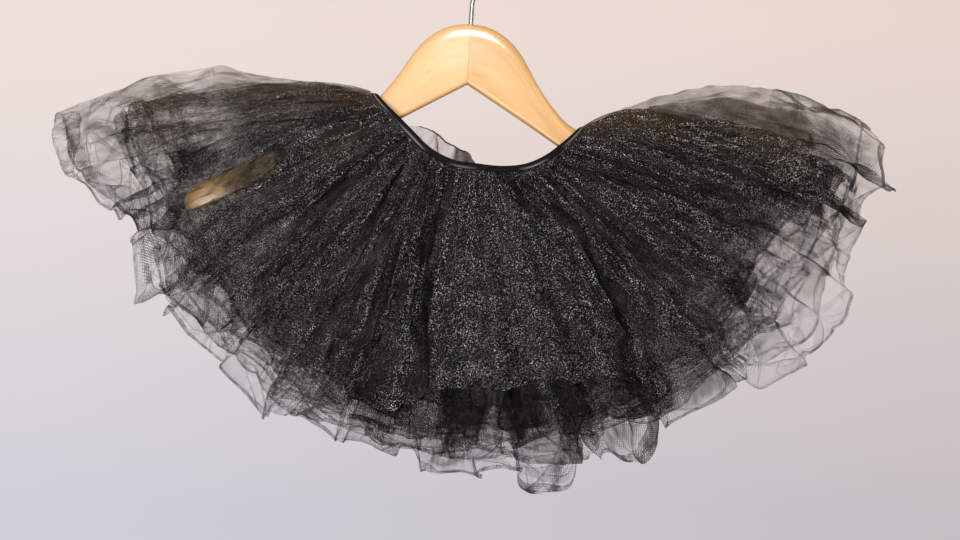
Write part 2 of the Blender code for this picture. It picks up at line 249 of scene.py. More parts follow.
def tube(path: Array, radius: Array, sides: int) -> Array:
    """Rings of points round a path: each stands square to the path's own direction.

    Args:
        path: points x 3.
        radius: of the ring at each point.
        sides: points in a ring.

    Returns:
        points x sides x 3.
    """
    heading = unit(np.gradient(path, axis=0))
    across = unit(np.cross(heading, np.array((0.03, 1.0, 0.02))))
    other = np.cross(across, heading)
    angle = ring_angles(sides)[None, :, None]
    ring = np.cos(angle) * across[:, None] + np.sin(angle) * other[:, None]
    return path[:, None] + radius[:, None, None] * ring


def measured(points: Array, closed: bool) -> Array:
    """Flat places of a grid in millimetres: mean arc lengths along it and down it."""
    rows = len(points)
    wide = np.concatenate((points, points[:, :1]), axis=1) if closed else points
    along = np.linalg.norm(np.diff(wide, axis=1), axis=2)[int(0.6 * rows):].mean(axis=0)
    down = np.linalg.norm(np.diff(points, axis=0), axis=2).mean(axis=1)
    return np.stack(np.broadcast_arrays(summed(along)[None, :], summed(down)[:, None]), axis=-1)


# ---- materials --------------------------------------------------------------------------------
@dataclass
class Graph:
    """Adds nodes to one tree; a value may be a number, a vector or another node's socket."""

    tree: NodeTree

    def fill(self, node: bpy.types.Node, values: dict[str | int, Value]) -> None:
        """Link or set some of a node's inputs, by name or number."""
        for key, value in values.items():
            if isinstance(value, Socket):
                self.tree.links.new(value, node.inputs[key])
            else:
                node.inputs[key].default_value = value

    def add(self, kind: str, values: dict[str | int, Value], output: int | str = 0,
            **settings: object) -> Socket:
        """One output of a new node.

        Args:
            kind: of node.
            values: its inputs, by name or number.
            output: which output is wanted.
            settings: the node's own settings.

        Returns:
            The output's socket.
        """
        node = self.tree.nodes.new("ShaderNode" + kind)
        for key, value in settings.items():
            setattr(node, key, value)
        self.fill(node, values)
        return node.outputs[output]

    def math(self, operation: str, *values: Value, clamp: bool = False) -> Socket:
        """A Math node's result."""
        return self.add("Math", dict(enumerate(values)), operation=operation, use_clamp=clamp)

    def times(self, first: Value, *others: Value) -> Socket:
        """A product."""
        for value in others:
            first = self.math("MULTIPLY", first, value)
        return first

    def less(self, value: Value, clamp: bool = False) -> Socket:
        """What is left of 1."""
        return self.math("SUBTRACT", 1.0, value, clamp=clamp)

    def vector(self, operation: str, *values: Value, output: int = 0) -> Socket:
        """A Vector Math node's result."""
        return self.add("VectorMath", dict(enumerate(values)), output, operation=operation)

    def part(self, vector: Socket, axis: int) -> Socket:
        """One part of a vector."""
        return self.add("SeparateXYZ", {0: vector}, axis)

    def ramp(self, value: Value, low: float, high: float, to_low: float = 0.0,
             to_high: float = 1.0, kind: str = "SMOOTHSTEP") -> Socket:
        """A value carried from one range to another, held at its ends."""
        values = dict(enumerate((value, low, high, to_low, to_high)))
        return self.add("MapRange", values, interpolation_type=kind)

    def mix(self, share: Value, *colours: tuple | Socket) -> Socket:
        """A mix of two colours."""
        first, second = (value if isinstance(value, Socket) else (*value, 1.0) for value in colours)
        return self.add("Mix", {0: share, 6: first, 7: second}, 2, data_type="RGBA")

    def noise(self, place: Socket, scale: float, detail: float = 0.0, distortion: float = 0.0,
              dimensions: str = "2D") -> Socket:
        """A Noise texture's value, about 0.2 to 0.8."""
        values = {"Vector": place, "Scale": scale, "Detail": detail, "Distortion": distortion}
        return self.add("TexNoise", values, noise_dimensions=dimensions)

    def mapped(self, place: Socket, scale: tuple, turn: float = 0.0,
               shift: tuple = (0.0, 0.0, 0.0)) -> Socket:
        """A place scaled, turned about Z and moved."""
        return self.add("Mapping", {"Vector": place, "Scale": scale, "Location": shift,
                                    "Rotation": (0.0, 0.0, turn)})

    def cloth(self) -> Socket:
        """The piece's own flat places, in metres."""
        return self.add("UVMap", {}, uv_map="cloth")

    def layer(self, name: str) -> Socket:
        """A value kept at the mesh's points."""
        return self.add("Attribute", {}, "Fac", attribute_type="GEOMETRY", attribute_name=name)

    def bump(self, height: Socket, strength: float, distance: float) -> Socket:
        """A normal from a height."""
        return self.add("Bump", {"Strength": strength, "Distance": distance, "Height": height})


def new_group(name: str, sockets: dict[str, tuple[str, float | None]], output: str) -> Graph:
    """A shader node group with named inputs and one number out.

    Args:
        name: of the group.
        sockets: input names, each with its kind and its first value.
        output: the name of its output.

    Returns:
        The group's graph, with its Group Input first and its Group Output second.
    """
    tree = bpy.data.node_groups.new(name, "ShaderNodeTree")
    for key, (kind, value) in sockets.items():
        socket = tree.interface.new_socket(key, in_out="INPUT", socket_type="NodeSocket" + kind)
        if value is not None:
            socket.default_value = value
    tree.interface.new_socket(output, in_out="OUTPUT", socket_type="NodeSocketFloat")
    tree.nodes.new("NodeGroupInput")
    tree.nodes.new("NodeGroupOutput")
    return Graph(tree)


def hexagon_net() -> NodeTree:
    """Group: threads of a six-sided net, 1 on a thread and 0 in a hole.

    The place is measured in cells. Each of two interleaved oblong lattices gives the distance
    to its nearest middle in the hexagon's own measure, the larger of |x| and |x|/2 + 0.866|y|;
    the nearer one says how far the thread is. The thread is as wide as the wished cover needs:
    half width = (1 - sqrt(1 - cover)) / 2.
    """
    graph = new_group("hexagon_net", {"Place": ("Vector", None), "Cover": ("Float", 0.2),
                                      "Softness": ("Float", 0.03)}, "Thread")
    given, result = graph.tree.nodes[0], graph.tree.nodes[1]
    place = given.outputs["Place"]
    slope = math.sqrt(3.0) / 2.0
    cell, half = (1.0, 2.0 * slope, 1.0), (0.5, slope, 0.5)
    nearest = []
    for moved in (place, graph.vector("ADD", place, half)):
        inside = graph.vector("SUBTRACT", graph.vector("MODULO", moved, cell), half)
        inside = graph.vector("ABSOLUTE", inside)
        slant = graph.vector("DOT_PRODUCT", inside, (0.5, slope, 0.0), output=1)
        nearest.append(graph.math("MAXIMUM", graph.part(inside, 0), slant))
    edge = graph.math("SUBTRACT", 0.5, graph.math("MINIMUM", *nearest))
    open_share = graph.math("SQRT", graph.less(given.outputs["Cover"], clamp=True))
    half_width = graph.math("MULTIPLY_ADD", open_share, -0.5, 0.5)
    over = graph.math("DIVIDE", graph.math("SUBTRACT", half_width, edge), given.outputs["Softness"])
    graph.fill(result, {0: graph.math("MULTIPLY_ADD", over, 0.5, 0.5, clamp=True)})
    return graph.tree


@dataclass(frozen=True)
class Finish:
    """A material whose own kind works out what its shader is fed."""

    name: str

    def inputs(self, graph: Graph) -> dict[str, Value]:
        """The shader's inputs."""
        raise NotImplementedError

    def material(self) -> Material:
        """A new material with its shader's inputs linked or set."""
        material = bpy.data.materials.new(self.name)
        material.use_nodes = True
        graph = Graph(material.node_tree)
        graph.fill(material.node_tree.nodes["Principled BSDF"], self.inputs(graph))
        return material


@dataclass(frozen=True)
class NetFinish(Finish):
    """Black nylon net, with painted silver highlights on its threads."""

    net: NodeTree
    turn: float = 0.0
    thread: Triple = (0.0036, 0.0032, 0.0030)
    cool: Triple = (0.0030, 0.0034, 0.0044)
    # colour of the painted shade in valleys, along creases and in hollows
    painted_valley_shade: Triple = (0.0016, 0.0014, 0.0014)
    # colour of the painted silver highlights
    painted_glint: Triple = (0.85, 0.82, 0.82)
    # painted warm light: a brownish tint, not the net's own colour
    painted_warm_light: Triple = (0.030, 0.0165, 0.006)
    pitch: float = 0.00155          # of the net's cells, in metres
    painted_glint_specks: float = 1300.0          # of silver, in one metre
    folds: tuple[tuple[str, float, float], ...] = (
        ("fold_wide", 0.022, 0.40), ("fold_fine", 0.05, 0.30), ("bend_0", 0.80, 0.70),
        ("bend_1", 0.80, 0.70), ("bend_2", 0.75, 0.65))  # each one's line: half width, darkness
    shift: Triple = (500.0, 4000.0, 0.0)  # keeps the cells' places above 0

    def between_folds(self, graph: Graph, cloth: Socket) -> Socket:
        """1 on smooth net, less on a fold's dark line and where a fold doubles the net."""
        broken = graph.ramp(graph.noise(cloth, 40.0), 0.32, 0.55, 0.25, 1.0)
        loose = graph.layer("loose")
        clear = 1.0
        for layer, width, dark in self.folds:
            away = graph.layer(layer)
            line = graph.ramp(graph.math("ABSOLUTE", away), 0.0, width, dark, 0.0)
            clear = graph.times(graph.less(graph.times(line, broken, loose)), clear)
            if layer.startswith("bend"):
                doubled = graph.times(graph.ramp(away, -5.8, -5.2),
                                      graph.ramp(away, -0.3, 0.3, 0.20, 0.0), loose)
                clear = graph.times(graph.less(doubled), clear)
        return clear

    def colour(self, graph: Graph, cloth: Socket) -> Socket:
        """Black, cooler in random patches, with painted shade in valleys and along creases, painted
        warm light towards the fan's ends, and painted silver highlights on crests.
        """
        lift = graph.layer("lift")
        solid = graph.add("TexCoord", {}, "Object")
        # painted highlights: silver dots, strongest on crests, none where painted shade lies,
        # thinned in random patches
        painted_glint_specks = graph.ramp(graph.noise(solid, self.painted_glint_specks, dimensions="3D"), 0.63, 0.73)
        # random patches that thin the painted highlights; not wear
        worn = graph.ramp(graph.noise(cloth, 62.0, detail=2.0), 0.36, 0.64, 0.40, 1.0)
        painted_glint_share = graph.times(painted_glint_specks, graph.ramp(lift, -1.0, 0.9, 0.08, 1.0), worn)
        tone = graph.mix(graph.ramp(graph.noise(cloth, 16.0), 0.35, 0.65), self.thread, self.cool)
        # painted shade: darker where lift is low, in valleys and along creases
        tone = graph.mix(graph.ramp(lift, -1.4, 0.6), self.painted_valley_shade, tone)
        # painted warm light: browner where the warm mark is set
        tone = graph.mix(graph.layer("warm"), tone, self.painted_warm_light)
        return graph.mix(painted_glint_share, tone, self.painted_glint)

    def inputs(self, graph: Graph) -> dict[str, Value]:
        """Threads by the cloth map; each point's cover says how closely they lie.

        Where the cover is high, or the map is stretched, the threads give way to an even veil
        of the same cover.

        Args:
            graph: the material's.

        Returns:
            The shader's inputs.
        """
        cloth = graph.cloth()
        uneven = graph.noise(graph.mapped(cloth, (1.0, 0.35, 1.0)), 210.0, detail=1.0)
        cover = graph.layer("cover")
        room = graph.times(cover, graph.less(cover), 2.2)
        cover = graph.math("MULTIPLY_ADD", graph.math("SUBTRACT", uneven, 0.5), room, cover,
                           clamp=True)
        cells = 1.0 / self.pitch
        place = graph.mapped(cloth, (cells, cells, 1.0), self.turn, self.shift)
        thread = graph.add("Group", {"Place": place, "Cover": cover}, node_tree=self.net)
        plain = graph.math("MAXIMUM", graph.ramp(cover, 0.38, 0.62, 0.0, 0.8),
                           graph.ramp(graph.layer("even"), 0.0, 1.0, 1.0, 0.0))
        thread = graph.math("ADD", graph.times(thread, graph.less(plain)),
                            graph.times(cover, plain))
        hole = graph.times(graph.less(thread), self.between_folds(graph, cloth))
        return {"Base Color": self.colour(graph, cloth), "Alpha": graph.less(hole),
                "Roughness": 0.6, "Specular IOR Level": 0.06}


@dataclass(frozen=True)
class ElasticFinish(Finish):
    """Black ribbed elastic, with a painted highlight line along it."""

    name: str = "elastic_black"
    colour: Triple = (0.0020, 0.0020, 0.0022)
    worn: Triple = (0.0070, 0.0066, 0.0064)
    # colour of the painted highlight line
    painted_highlight_line: Triple = (0.20, 0.195, 0.20)
    rib: float = 0.0009             # from rib to rib, in metres

    def inputs(self, graph: Graph) -> dict[str, Value]:
        """Fine ribs along the band, crossed by the rubber's short pulls, and a painted highlight
        line broken into patches.
        """
        cloth = graph.cloth()
        drawn = graph.mapped(cloth, (1.0, 0.2, 1.0))
        ribs = graph.math("SINE", graph.times(graph.part(cloth, 1), TURN / self.rib))
        height = graph.math("MULTIPLY_ADD", ribs, 0.35, graph.noise(drawn, 1400.0, detail=1.0))
        tone = graph.mix(graph.ramp(height, 0.4, 1.1), self.colour, self.worn)
        # the painted highlight line, broken into patches
        patches = graph.ramp(graph.noise(drawn, 24.0), 0.42, 0.62)
        painted_highlight_line = graph.times(graph.layer("painted_highlight_line"), patches)
        return {"Base Color": graph.mix(painted_highlight_line, tone, self.painted_highlight_line),
                "Normal": graph.bump(height, 0.6, 0.0003),
                "Roughness": 0.6, "Specular IOR Level": 0.08}


@dataclass(frozen=True)
class WoodFinish(Finish):
    """Pale varnished beech, with its grain along the board."""

    pale: Triple = (0.605, 0.395, 0.172)
    dark: Triple = (0.62, 0.35, 0.14)
    ray: Triple = (0.40, 0.20, 0.07)
    shift: float = 0.0

    def inputs(self, graph: Graph) -> dict[str, Value]:
        """Long soft bands, fine short pores, and a clear coat that is duller underneath."""
        shift = (self.shift, 0.3 * self.shift, 0.0)
        board = graph.mapped(graph.cloth(), (1.0, 1.0, 1.0), shift=shift)
        bands = graph.noise(graph.mapped(board, (0.12, 1.0, 1.0)), 85.0, detail=3.0, distortion=0.6)
        lines = graph.noise(graph.mapped(board, (0.03, 1.0, 1.0)), 700.0, detail=2.0)
        pores = graph.noise(graph.mapped(board, (0.10, 1.0, 1.0)), 1500.0, detail=1.0)
        tone = graph.mix(graph.ramp(bands, 0.35, 0.68), self.pale, self.dark)
        tone = graph.mix(graph.times(graph.ramp(lines, 0.46, 0.68), 0.55), tone, self.dark)
        fleck = graph.times(graph.ramp(pores, 0.66, 0.80), 0.25)
        upward = graph.part(graph.add("TexCoord", {}, "Normal"), 2)
        return {"Base Color": graph.mix(fleck, tone, self.ray),
                "Roughness": graph.ramp(lines, 0.3, 0.8, 0.34, 0.48),
                "Normal": graph.bump(graph.math("ADD", lines, fleck), 0.12, 0.0002),
                "Coat Weight": graph.ramp(upward, -0.16, -0.02, 0.10, 0.7),
                "Coat Roughness": 0.12}


@dataclass(frozen=True)
class WireFinish(Finish):
    """Zinc-plated steel wire, dulled and slightly spotted."""

    name: str = "plated_wire"
    bright: Triple = (0.55, 0.55, 0.54)
    dull: Triple = (0.30, 0.30, 0.29)

    def inputs(self, graph: Graph) -> dict[str, Value]:
        """Drawn lines along the wire, with dull spots."""
        cloth = graph.cloth()
        drawn = graph.noise(graph.mapped(cloth, (0.04, 1.0, 1.0)), 3000.0, detail=1.0)
        spots = graph.ramp(graph.noise(cloth, 420.0, detail=2.0), 0.50, 0.66)
        matt = graph.math("MULTIPLY_ADD", spots, 0.3, drawn)
        return {"Base Color": graph.mix(spots, self.bright, self.dull), "Metallic": 1.0,
                "Roughness": graph.ramp(matt, 0.3, 0.9, 0.24, 0.46),
                "Normal": graph.bump(drawn, 0.15, 0.0001)}


@dataclass(frozen=True)
class FloorPaint(Finish):
    """Plain pale matt paint."""

    name: str = "floor_paint"

    def inputs(self, graph: Graph) -> dict[str, Value]:
        """One colour."""
        return {"Base Color": (0.66, 0.63, 0.62, 1.0), "Roughness": 0.9}


# ---- the fan that all the net follows ---------------------------------------------------------
@dataclass(frozen=True)
class Fan:
    """The skirt's smooth fan: a folded ring that opens from the waistband to the hem."""

    waist: Rows = ((-86.5, -128.0), (-70.5, -145.5), (-56.0, -161.0), (-39.5, -177.0),
                   (-20.0, -187.0), (2.0, -190.5), (24.0, -192.0), (44.5, -189.0),
                   (62.5, -180.0), (75.5, -169.0), (90.5, -154.7))
    left: float = -87.0             # degrees from straight down, at the left fold
    right: float = 86.0
    arch_left: float = 22.0         # how far a fold arches over its straight line
    arch_right: float = 39.0
    band_arch: float = 0.75         # share of the arch above the band's lower edge
    reach: float = 256.0
    arch_power: float = 4.0
    waist_depth: float = 16.0       # half depths, front to back
    hem_depth: float = 38.0
    depth_growth: float = 0.85
    waist_power: float = 0.50
    hem_power: float = 0.66
    dense: int = 8001
    turn_step: float = 0.002        # for the directions
    drop_step: float = 0.5

    def waist_point(self, place: Array) -> tuple[Array, Array]:
        """Across and height of the band's lower edge, by even steps of its length."""
        line = np.array(self.waist)
        along = lengths(line)
        stations = 2.0 * along / along[-1] - 1.0
        return smooth_table(stations, line[:, 0], place), smooth_table(stations, line[:, 1], place)

    def surface(self, turn: Array, drop: Array, inset: Array | float = 0.0) -> Array:
        """Points of the fan.

        The place along the fan is cos(turn). A straight line leaves the waist there at an
        angle that runs from the left fold's to the right fold's, and is lifted by a parabola
        near the folds. The depth is a power of sin(turn), and grows with the drop.

        Args:
            turn: radians; 0 is the right fold, and the back comes next.
            drop: millimetres down from the band's lower edge.
            inset: share by which the folds are drawn in from the fan's ends.

        Returns:
            Points in millimetres.
        """
        place = np.cos(turn) * (1.0 - inset)
        across, height = self.waist_point(place)
        lean = np.radians((self.left + self.right) / 2 + place * (self.right - self.left) / 2)
        arch = np.where(place < 0, -self.arch_left, self.arch_right)
        arch = arch * np.abs(place)**self.arch_power
        share = drop / self.reach
        lift = 4.0 * share * (1.0 - share) * arch * np.where(drop < 0.0, self.band_arch, 1.0)
        across = across + drop * np.sin(lean) + lift * np.cos(lean)
        height = height - drop * np.cos(lean) + lift * np.sin(lean)
        opened = np.clip(share, 0.0, 1.0)**self.depth_growth
        depth = self.waist_depth + (self.hem_depth - self.waist_depth) * opened
        power = self.waist_power + (self.hem_power - self.waist_power) * opened
        return np.stack((across, depth * powered(np.sin(turn), power), height), axis=-1)

    def directions(self, turn: Array, drop: Array,
                   inset: Array | float = 0.0) -> tuple[Array, Array, Array]:
        """Unit directions round the fan, down it and out of it, from small steps."""
        ways = []
        for aside, down in ((self.turn_step, 0.0), (0.0, self.drop_step)):
            ways.append(unit(self.surface(turn + aside, drop + down, inset)
                             - self.surface(turn - aside, drop - down, inset)))
        return ways[0], ways[1], unit(np.cross(ways[1], ways[0]))

    def even_turns(self, count: int, drop: float) -> Array:
        """Turns that part the fan's ring at one drop into equal lengths."""
        dense = np.linspace(0.0, TURN, self.dense)
        along = lengths(self.surface(dense, np.full(self.dense, drop)))
        return np.interp(np.arange(count) * along[-1] / count, along, dense)


class Side(Enum):
    """Which face of the skirt a fold is on."""

    FRONT = -1
    BOTH = 0
    BACK = 1

    def share(self, turn: Array, early: float = 0.1) -> Array:
        """1 on this face, 0 on the other, and a soft step between them."""
        if self is Side.BOTH:
            return np.ones(turn.shape)
        return eased(self.value * np.sin(turn) * 4.0 + early)


@dataclass(frozen=True)
class Fold:
    """A large soft trough (rise below 0) or ridge, on a line from the waist to the hem."""

    side: Side
    at_waist: float
    at_hem: float
    half_width: float
    rise: float


@dataclass(frozen=True)
class Line:
    """A line drawn on one face of the skirt, through (place, drop) points."""

    side: Side
    through: Rows
    spread: float = 1.51            # of the face laid flat, for each millimetre from its apex
    apex: float = 74.0              # how far the flat face's apex is above the band

    def away(self, place: Array, drop: Array) -> Array:
        """Distance from the line, positive on its right as it is drawn.

        The face is laid out flat, with x = spread (apex + drop) place; the distance to each of
        the line's stretches is that to its nearest point, and the least of them counts.

        Args:
            place: along the fan.
            drop: down from the band.

        Returns:
            Millimetres, signed.
        """
        rows = np.array(self.through)
        spots = np.stack((self.spread * (self.apex + rows[:, 1]) * rows[:, 0], rows[:, 1]), axis=-1)
        x = self.spread * (self.apex + drop) * place
        nearest = np.full(drop.shape, 1e6)
        for start, end in zip(spots, spots[1:]):
            reach = end - start
            share = ((x - start[0]) * reach[0] + (drop - start[1]) * reach[1]) / (reach @ reach)
            share = np.clip(share, 0.0, 1.0)
            gap_x = x - start[0] - share * reach[0]
            gap_y = drop - start[1] - share * reach[1]
            gap = np.hypot(gap_x, gap_y) * np.sign(reach[1] * gap_x - reach[0] * gap_y + 1e-9)
            nearest = np.where(np.abs(gap) < np.abs(nearest), gap, nearest)
        return nearest


@dataclass(frozen=True)
class Crease:
    """A pressed fold: the net stands up on one side of its line and dips on the other."""

    line: Line
    half_width: float
    rise: float
    # strength of a thin line of painted shade along the fold itself
    edge: float                    # how strongly the fold itself shows as a thin dark line

    def offsets(self, turn: Array, place: Array, drop: Array) -> tuple[Array, Array]:
        """How far the net is moved out, and how strongly the crease shades it.

        With d the distance from the line in half widths, the rise is -d * exp(-d^2). The shade
        is a bell curve over the dipped side, with a thin line just past the fold.

        Args:
            turn: round the waist.
            place: along the fan.
            drop: down from the band.

        Returns:
            The offset in millimetres and the shade from 0 to 1.
        """
        away = self.line.away(place, drop) / self.half_width
        there = self.line.side.share(turn)
        dipped = away * math.copysign(1.0, self.rise)
        line = self.edge * bell((dipped * self.half_width - 0.9) / 1.3)
        return (-2.33 * self.rise * away * bell(away) * there,
                (0.8 * np.exp(-(dipped - 0.7)**2 * 1.6) + line) * there)


@dataclass(frozen=True)
class Bunch:
    """Net drawn together into a strand along a line, as more plies, a low ridge and painted shade
    along it.
    """

    line: Line
    half_width: float
    plies: float
    # height of the strand's ridge and strength of its painted shade
    dull: float = 1.2

    def depth(self, turn: Array, place: Array, drop: Array, wander: Array) -> Array:
        """1 along the strand and 0 beside it; wander moves it about in millimetres."""
        away = (self.line.away(place, drop) + wander) / self.half_width
        return bell(away, 3) * self.line.side.share(turn)


@dataclass(frozen=True)
class Bend:
    """A family of nearly parallel folds pressed into a tier."""

    around: int
    down: float
    height: float
    amount: float

    def crossed(self, seed: int, u: Array, v: Array) -> Array:
        """How many of the folds have been crossed at each point, wandering a little."""
        return (self.around * u + self.down * v + 0.42 * drift(seed, 8, 2, u, v)
                + 0.10 * drift(seed + 1, 33, 5, u, v))


@dataclass(frozen=True)
class Hump:
    """A place where a fold of the fan's edge stands up."""

    side: float                    # -1 for the left fold and 1 for the right
    drop: float
    half_drop: float
    height: float

    def rise(self, turn: Array, drop: Array) -> Array:
        """A tent shape down the fold, easing off round it."""
        tent = np.maximum(1.0 - np.abs(drop - self.drop) / self.half_drop, 0.0)
        return self.height * tent**0.8 * eased((self.side * np.cos(turn) - 0.93) / 0.06)


@dataclass(frozen=True)
class Tongue:
    """A stretch of hem that hangs lower, or is cut back where reach is below 0."""

    side: Side
    place: float
    half_width: float
    reach: float

    def drop(self, turn: Array) -> Array:
        """How much lower the hem is, with steep sides and a flat end."""
        away = (np.cos(turn) - self.place) / self.half_width
        return self.reach * bell(away, 4) * self.side.share(turn, 0.0)


@dataclass(frozen=True)
class Folds:
    """The folds and waves that all three tiers share, as their solids do."""

    ruffles: int = 32
    ruffle_hem: float = 8.5
    ruffle_growth: float = 0.85
    side_calm: float = 0.40
    full_drop: float = 110.0
    lines: tuple[Fold, ...] = tuple(Fold(*row) for row in (
        (Side.FRONT, -0.62, -0.60, 0.045, -5.0), (Side.FRONT, -0.42, -0.36, 0.050, -6.0),
        (Side.FRONT, -0.28, -0.25, 0.040, 4.0), (Side.FRONT, -0.15, -0.10, 0.045, -7.0),
        (Side.FRONT, 0.20, 0.34, 0.040, -8.0), (Side.FRONT, 0.45, 0.47, 0.045, 4.0),
        (Side.FRONT, 0.58, 0.63, 0.050, -6.0), (Side.BACK, -0.52, -0.47, 0.050, -6.0),
        (Side.BACK, -0.05, -0.02, 0.050, -6.0), (Side.BACK, 0.13, 0.16, 0.040, 4.0),
        (Side.BACK, 0.30, 0.36, 0.050, -7.0), (Side.BACK, 0.62, 0.66, 0.045, -5.0)))

    def phase(self, step: Array, grown: Array) -> Array:
        """Phase of the ruffles round a tier, unevenly spaced, leaning as they grow."""
        uneven = 1.3 * np.sin(3.0 * step + 0.7) + 0.8 * np.sin(7.0 * step + 2.1)
        return self.ruffles * step + uneven + grown * np.sin(2.0 * step + 1.3)

    def strength(self, step: Array) -> Array:
        """Share of its full height that a ruffle has."""
        return 0.76 + 0.16 * np.sin(5.0 * step + 1.0) + 0.12 * np.sin(11.0 * step)

    def ruffle(self, step: Array, grown: Array) -> Array:
        """Height of the ruffles from -1 to 1."""
        return self.strength(step) * np.sin(self.phase(step, grown))

    def rise(self, turn: Array, grown: Array, drop: Array) -> Array:
        """Sum of the large folds, each a bell curve across its own line."""
        total = np.zeros(drop.shape)
        for fold in self.lines:
            centre = fold.at_waist + (fold.at_hem - fold.at_waist) * grown
            shape = bell((np.cos(turn) - centre) / fold.half_width)
            total += fold.rise * shape * fold.side.share(turn, 0.0)
        return total * eased(drop / self.full_drop)


@dataclass(frozen=True)
class Shade:
    """A spot where the net is closer, with painted shade and no painted highlights, as in a hollow,
    or parts and lets one see in.
    """

    place: float
    half_width: float
    drop: float
    half_drop: float
    plies: float = 3.0             # added; below 0, the share of the net taken away
    side: Side = Side.FRONT

    def across(self, place: Array) -> Array:
        """1 in the middle of the spot's width and 0 beside it."""
        return bell((place - self.place) / self.half_width, 4)

    def depth(self, turn: Array, place: Array, drop: Array) -> Array:
        """1 in the spot's middle, on its side, and 0 outside it."""
        down = bell((drop - self.drop) / self.half_drop, 4)
        return self.across(place) * down * self.side.share(turn)


@dataclass(frozen=True)
class Panel:
    """The top tier's domed middle, on the front alone, which ends in a raised lip."""

    middle: float = 0.09            # along the fan
    half_width: float = 0.27
    swell: float = 8.0              # how far it stands out
    swell_drop: float = 135.0       # and where it does so most
    swell_half: float = 67.5
    lip: float = 5.0
    lip_start: float = 0.76         # share of the way down
    back_hem: float = 204.0         # the back's hem is at least this long in its middle
    back_rise: float = 14.0         # and this much shorter at the folds

    def share(self, turn: Array) -> Array:
        """1 in the panel's middle and 0 outside it."""
        across = np.clip(np.abs(np.cos(turn) - self.middle) / self.half_width, 0.0, 1.0)
        return (1.0 - across**2)**2 * Side.FRONT.share(turn, 0.0)

    def rise(self, at: Stand) -> Array:
        """How far the panel stands out, and its lip."""
        swell = self.swell * bell((at.drop - self.swell_drop) / self.swell_half)
        lip = self.lip * eased((at.v - self.lip_start) / (1.0 - self.lip_start))
        return self.share(at.turn) * (swell * eased(at.drop / 60.0) + lip)

    def hem(self, turn: Array, drop: Array) -> Array:
        """The hem's drop, longer at the back, where it has no lip."""
        back = np.maximum(drop, self.back_hem - self.back_rise * np.cos(turn)**2)
        return np.where(np.sin(turn) > 0.0, back, drop)


@dataclass(frozen=True)
class Stand:
    """Where a tier's points stand before its waves move them: arrays of rows x columns."""

    u: Array                       # share of the way round
    v: Array                       # share of the way down
    turn: Array
    place: Array                   # along the fan
    drop: Array
    length: Array                  # of net from the band
    rolled: Array                  # 1 where the hem has rolled back
    inset: Array
    base: Array                    # on the smooth fan
    ring: Array                    # the fan's length round, for each row
    grown: Array                   # share of the fan's reach
    still: Array                   # near 0 where the net hangs smooth, 1 elsewhere
    tame: Array                    # still, and less at the left fold

    def drift(self, seed: int, cells_round: int, cells_down: int) -> Array:
        """Smooth noise at the points."""
        return drift(seed, cells_round, cells_down, self.u, self.v)


